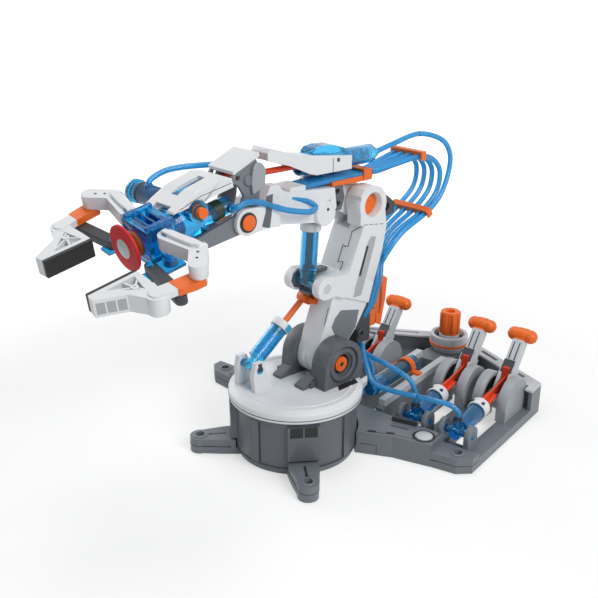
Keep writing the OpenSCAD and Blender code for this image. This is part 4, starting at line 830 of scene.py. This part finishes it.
for number in range(DASH_COUNT):
    start = Vector(DASH_START) + number * Vector(DASH_STEP)
    seam(f"upper_arm_dash_{number + 1}", ARM, [start, start + Vector(DASH_RUN)], "upper_arm")
seam("column_joint", ARM, COLUMN_JOINT, "upper_arm", width=0.6)
turned("guide_boss", ARM, GUIDE_BOSS_PLACE, Y, GUIDE_BOSS, dark_and_shade, "upper_arm")
turned("near_lug_plug", ARM, LUG, Y, LUG_PLUG, pale_abs, "upper_arm")
turned("near_lug_rim", ARM, LUG, Y, LUG_RIM, white_abs, "upper_arm")

# Elbow cylinder
# A syringe of pale clear styrene, hung between the upper arm's lugs, with white tabs on its pale collar. Its
# dark green plunger has cross blades and a black rubber seal. The orange pin is the elbow's own hinge.
light_styrene = clear_plastic("light_blue_moulded_styrene", "#5fd0fa", 0.95, 0.02)
ELBOW_LUG = (-16, -5, 126)
ELBOW_RUN = (-4, 54)
ELBOW_TILT = math.atan2(*ELBOW_RUN)
ELBOW = (-64, 0, 179)
ELBOW_SEAL_PLACE = (0, 0, 10.7)
ELBOW_SEAL = [(radius - 1.4, height) for radius, height in SEAL]
ELBOW_BLADE = [(-3, 13), (3, 13), (3, 47), (2.2, 48.5), (-2.2, 48.5), (-3, 47)]
BLADE_HALF = 0.7
ELBOW_TAB = rectangle(-2, 2, 39.6, 44)
ELBOW_TAB_FACES = (7.3, 8.6)
ELBOW_PIN_LIP = [(2.2, 7.9), (6.4, 7.9), (6.0, 8.6), (2.6, 8.6)]
axes = pitched(ELBOW_TILT, ELBOW_LUG)
soften(["elbow_barrel"], light_styrene, width=0)
soften(["elbow_collar"], pale_abs, width=0.3)
soften(["elbow_pin"], orange_abs, width=0.3)
soften(["elbow_rod"], green_abs, width=0)
for label, flat in {"a": X, "b": Y}.items():
    prism(f"elbow_blade_{label}", axes, ELBOW_BLADE, flat, -BLADE_HALF, BLADE_HALF, green_abs,
          "elbow_rod", edge=0.1)
turned("elbow_seal", axes, ELBOW_SEAL_PLACE, Z, ELBOW_SEAL, black_rubber, "elbow_rod")
paired("elbow_collar_tab", axes, ELBOW_TAB, ELBOW_TAB_FACES, white_abs, "elbow_cylinder", edge=0.3)
turned("elbow_pin_lip", ARM, ELBOW, Y, ELBOW_PIN_LIP, orange_abs, "upper_arm")

# Forearm
# A hollow box moulded in white ABS, with a round boss over the rod's eye and a slate bracket at the elbow.
# The orange clip and strap hold the hoses on top of it; a pin with an orange dome carries the wrist.
BOSS = (-20, 0, 180)
BOSS_RIM = [(7.2, 9.9), (7.6, 10.35), (8.6, 10.35), (9.0, 9.9)]
BOSS_HOLE_PLACE = (-21.8, 10, 182.5)
BOSS_HOLE = rectangle(0, 1.2, -0.1, 0.08)
FOREARM_PLATES = {
    "forearm_front_band": (12.6, 13.3, slate_abs, 0.2, [
        (31, 203.4), (36.4, 202.6), (37.4, 192), (40.6, 183), (34, 180.8), (32.4, 190)]),
    "hose_end_cap": (-13.4, 5.2, white_abs, 0.5, [
        (-5, 198.3), (-5, 201.8), (7, 202), (9.4, 200.6), (8.6, 198.3)]),
    "hose_strap_block": (-20, -13.3, orange_abs, 0.4, [
        (-63, 200.4), (-63, 205.4), (-46, 206), (-44, 204), (-44, 200.4)]),
}
HOSE_STRAP = [(-12.8, 203.9), (5.6, 203.9), (5.6, 196.6), (3.9, 196.6), (3.9, 202.5), (-12.8, 202.5)]
STRAP_ENDS = (-70, -62)
WRIST_PIN_RING = [(5.25, 16.9), (6.7, 16.9), (6.5, 17.9), (5.25, 17.9)]
WRIST_PIN_DOME = [(0, 19.3), (2.4, 19.1), (4.2, 18.8), (5.1, 18.2), (5.1, 17.2), (0, 17.2)]
soften(["forearm"], white_abs)
soften(["forearm_bracket"], slate_abs)
soften(["elbow_clip", "wrist_pin"], orange_abs, width=0.3)
turned("boss_rim", ARM, BOSS, Y, BOSS_RIM, white_abs, "forearm")
# The hole in the boss is a black disc of painted shade.
turned("boss_hole_shade", ARM, BOSS_HOLE_PLACE, Y, BOSS_HOLE, black_and_shade, "forearm", sides=24)
for name, (low, high, material, edge, outline) in FOREARM_PLATES.items():
    prism(name, ARM, outline, Y, low, high, material, "forearm", edge)
prism("hose_strap", ARM, HOSE_STRAP, X, *STRAP_ENDS, orange_abs, "forearm", edge=0.3)
turned("wrist_pin_ring", ARM, WRIST_PIVOT, Y, WRIST_PIN_RING, black_and_shade, "forearm")
turned("wrist_pin_dome", ARM, WRIST_PIVOT, Y, WRIST_PIN_DOME, orange_abs, "forearm")

# Wrist cylinder
# A barrel of clear blue styrene with a faceted dome, held in a white ABS frame that tilts on the forearm.
# Its red rod goes to the wrist's cross pin, and a black rubber seal shows in the barrel.
TRUNNION = (-36, -4, 213)
WRIST_RUN = (84, 1)
WRIST_TILT = -math.atan2(WRIST_RUN[1], WRIST_RUN[0])
WRIST_SEAL_PLACE = (-30, 0, 0)
FRAME_FACE = 8.6
FRAME_LINE = [(4.6, 8.62, -7.5), (4.6, 8.62, 3.4)]
FRAME_HOLE = rectangle(-1.8, 0.8, 0.2, 2.8)
WRIST_SEAL = [(radius + 0.2, height) for radius, height in SEAL]
axes = pitched(WRIST_TILT, TRUNNION)
soften(["wrist_frame"], white_abs)
soften(["wrist_barrel"], blue_styrene, width=0.3)
soften(["wrist_rod"], red_abs, width=0)
seam("wrist_frame_line", axes, FRAME_LINE, "wrist_cylinder")
# The hole in the frame is a black plate of painted shade.
shade_plate("wrist_frame_hole_shade", axes, FRAME_HOLE, Y, FRAME_FACE, "wrist_cylinder", proud=0.06)
turned("wrist_seal", axes, WRIST_SEAL_PLACE, X, WRIST_SEAL, black_rubber, "wrist_cylinder")

# Wrist and roll drive
# Cradle cheeks moulded in grey ABS swing on the forearm's pins, with light lugs for the rod's cross pin.
# They carry the deep blue styrene roll drive under a white cover; its cross cylinder has an orange plunger.
PLUNGER_PLACE = (34, 18, 21.6)
NIPPLE_PLACE = (34, -36, 27)
PLUNGER_CAP = rectangle(3.5, 5.0, -0.1, 0.5)
# Each round: its place in the hand's axes, the axis it is turned about, its material and its profile.
DRIVE_ROUNDS = {
    "roll_drive_band": ((12, 6, 12.4), X, green_abs, [(6.2, 0), (6.5, 0.2), (6.5, 6.8), (6.2, 7)]),
    "rod_pin_cap": ((-9.32, 13, 24.6), Y, grey_abs, [
        (0, 1.3), (3, 1.2), (3.7, 0.5), (3.7, -0.1), (0, -0.1)]),
    "cross_cylinder_seal": ((34, -46, 21.6), Y, black_rubber, [
        (0, 0), (7.15, 0), (7.3, 0.6), (7.15, 1.2), (7.3, 1.8), (7.15, 2.4), (0, 2.4)]),
}
WRIST_LUG = [
    (-9.5, 15), (-10.3, 22.6), (-12.2, 28), (-13.8, 31.4), (-15.6, 33.2), (-17.9, 33.8), (-20, 33.4),
    (-21.6, 31.9), (-22.8, 29.6), (-23.3, 26.8), (-20.4, 17)]
CROSS_NIPPLE = [(0, -1.5), (3.4, -1.5), (3.2, 1.5), (2.6, 3), (0, 3)]
LUG_FACES = (12.9, 15.2)
COVER_WINDOW = rectangle(16.4, 37.6, -3.2, 3.2)
WINDOW_HEIGHTS = (30.2, 31.4)
PRONG_FACES = (8, 15.6)
COVER_PRONG = [(46, 26.4), (46.4, 28.6), (50, 27.4), (51, 26)]
COVER_LINE = [(6, 16.02, 29.4), (30, 16.02, 30), (46, 16.02, 27.6)]
soften(["wrist_cradle"], grey_abs)
soften(["hand_cover"], white_abs)
soften(["roll_housing"], deep_styrene, width=0.3)
soften(["roll_plunger"], orange_abs, width=0.3)
turned("roll_plunger_cap", HAND, PLUNGER_PLACE, Y, PLUNGER_CAP, deep_styrene, "roll_plunger")
turned("cross_cylinder_nipple", HAND, NIPPLE_PLACE, Z, CROSS_NIPPLE, deep_styrene, "wrist", sides=32)
for name, (centre, along, material, profile) in DRIVE_ROUNDS.items():
    turned(name, HAND, centre, along, profile, material, "wrist")
prism("cover_window", HAND, COVER_WINDOW, Z, *WINDOW_HEIGHTS, deep_styrene, "wrist", edge=0.1)
paired("wrist_lug", HAND, WRIST_LUG, LUG_FACES, light_abs, "wrist", edge=0.7)
paired("cover_prong", HAND, COVER_PRONG, PRONG_FACES, white_abs, "wrist", edge=0.4)
for side, s in SIDES.items():
    seam(f"cover_line_{side}", HAND, mirrored(COVER_LINE, s, Y), "wrist", width=0.4)

# Hand
# A block of deep blue styrene that rolls with the drive's hub, with two rails and three ribs on top.
# In front it holds the red silicone suction cup, on an amber stem with a pale centre.
amber_abs = moulded_abs("brown_amber_abs", "#8a4a16")
red_silicone = rubber("red_silicone_rubber", "#d60f1c")
HAND_ROLL = math.radians(10)
ROLL_AXIS = (0, 0, 13)
ROLL = HAND @ Matrix.Translation(ROLL_AXIS) @ Matrix.Rotation(-HAND_ROLL, 4, "X")
HAND_RAIL = rectangle(50.6, 70.4, 9.6, 12.6)
RAIL_HEIGHTS = (11.8, 14.6)
HAND_RIBS = (55.6, 60.5, 65.4)
RIB_THICKNESS = 1.6
RIB_REACH = 9.4
HAND_RIB_HEIGHTS = (2, 12.6)
CUP_PLACE = (80.4, 0, 0)
STEM_PLACE = (71, 0, 0)
CUP_CENTRE = [(0, 0.9), (5.6, 0.8), (6.3, 0.3), (6.3, -0.2), (0, -0.2)]
CUP_STEM = [(0, 0.1), (8.6, 0.1), (8.6, 2.6), (7, 4.6), (0, 4.6)]
soften(["hand_block"], deep_styrene, width=0.3)
soften(["suction_cup"], red_silicone, width=0.3)
for side, s in SIDES.items():
    rail = mirrored(HAND_RAIL, s, Y)
    prism(f"hand_rail_{side}", ROLL, rail, Z, *RAIL_HEIGHTS, deep_styrene, "hand", edge=0.4)
for number, middle in enumerate(HAND_RIBS, 1):
    rib = rectangle(middle - RIB_THICKNESS / 2, middle + RIB_THICKNESS / 2, -RIB_REACH, RIB_REACH)
    prism(f"hand_rib_{number}", ROLL, rib, Z, *HAND_RIB_HEIGHTS, deep_styrene, "hand", edge=0.2)
turned("cup_centre", ROLL, CUP_PLACE, X, CUP_CENTRE, pale_abs, "hand")
turned("cup_stem", ROLL, STEM_PLACE, X, CUP_STEM, amber_abs, "hand")

# Gripper
# White ABS cranks, each with a raised bridge, and dark links swing the fingers level on pins in the hand.
# The fingers are open frames with ribs from a hub, recessed panels on the outer edge drawn as strips of
# painted shade, an orange clamp and a pad.
# Outlines are in the hand's axes: forward, then across to the near side.
FINGER_HUB = Vector((98, 37))
HUB_PROFILE = [(1.0, 0), (2.4, 0), (2.4, 6.2), (2.0, 6.5), (1.0, 6.5)]
RIB_ENDS = {"a": (100, 28.6), "b": (92, 31), "c": (95.2, 42), "d": (108, 30.6)}
FINGER_RIB_HALF = 0.6
FINGER_RIB_HEIGHTS = (-6.1, -0.3)
HUB_FOOT = -6
FINGER_EDGE = (Vector((105.4, 39.8)), Vector((121.2, 31.4)))
PANEL_COUNT = 3
PANEL_GAP = 0.08
PANEL_HALF = 0.12
PANEL_HEIGHTS = (-10, -2.4)
FINGER_CLAMP = [(64.6, 50.6), (62, 56), (66, 61.2), (72, 61), (83, 58.4), (83, 48)]
CLAMP_HEIGHTS = (-3.8, 1.2)
CRANK_TOP = 10.5
CRANK_NOTCHES = {"a": (60.5, 48), "b": (64.6, 52.4)}
NOTCH_HALF = 0.8
CRANK_BRIDGE = [(60.2, 16.6), (64, 17), (62.4, 30), (60.2, 41), (57.4, 45), (54.6, 43), (56.6, 32)]
BRIDGE_HEIGHTS = (10.3, 12.8)
CRANK_LINE = [(55.6, 24, 10.52), (52.6, 36, 10.52), (52.4, 43, 10.52)]


def strip(start, end, half):
    # The outline of a straight bar between two places.
    across = (end - start).normalized().orthogonal() * half
    return [start + across, end + across, end - across, start - across]


soften(["crank_near", "crank_far", "finger_near", "finger_far"], white_abs)
soften(["link_near", "link_far"], dark_and_shade)
soften(["pad_near", "pad_far"], black_rubber, width=0.3)
panel_step = (FINGER_EDGE[1] - FINGER_EDGE[0]) / PANEL_COUNT
for side, s in SIDES.items():
    finger = f"finger_{side}"
    crank = f"crank_{side}"
    for label, end in RIB_ENDS.items():
        rib = mirrored(strip(FINGER_HUB, Vector(end), FINGER_RIB_HALF), s, Y)
        prism(f"finger_rib_{side}_{label}", ROLL, rib, Z, *FINGER_RIB_HEIGHTS, white_abs, finger, edge=0.15)
    hub_place = (FINGER_HUB.x, s * FINGER_HUB.y, HUB_FOOT)
    turned(f"finger_hub_{side}", ROLL, hub_place, Z, HUB_PROFILE, white_abs, finger, sides=32)
    for i in range(PANEL_COUNT):
        start = FINGER_EDGE[0] + panel_step * (i + PANEL_GAP)
        end = FINGER_EDGE[0] + panel_step * (i + 1 - PANEL_GAP)
        panel = mirrored(strip(start, end, PANEL_HALF), s, Y)
        prism(f"finger_panel_shade_{side}_{i + 1}", ROLL, panel, Z, *PANEL_HEIGHTS, white_painted_shade, finger, edge=0.02)
    clamp = mirrored(FINGER_CLAMP, s, Y)
    prism(f"finger_clamp_{side}", ROLL, clamp, Z, *CLAMP_HEIGHTS, orange_abs, finger, edge=0.3)
    # The notches in each crank are black plates of painted shade.
    for label, (along, across) in CRANK_NOTCHES.items():
        notch = rectangle(along - NOTCH_HALF, along + NOTCH_HALF, across - NOTCH_HALF, across + NOTCH_HALF)
        notch = mirrored(notch, s, Y)
        shade_plate(f"crank_notch_shade_{side}_{label}", ROLL, notch, Z, CRANK_TOP, crank)
    bridge = mirrored(CRANK_BRIDGE, s, Y)
    prism(f"crank_bridge_{side}", ROLL, bridge, Z, *BRIDGE_HEIGHTS, white_abs, crank, edge=0.7)
    seam(f"crank_line_{side}", ROLL, mirrored(CRANK_LINE, s, Y), crank, width=0.4)
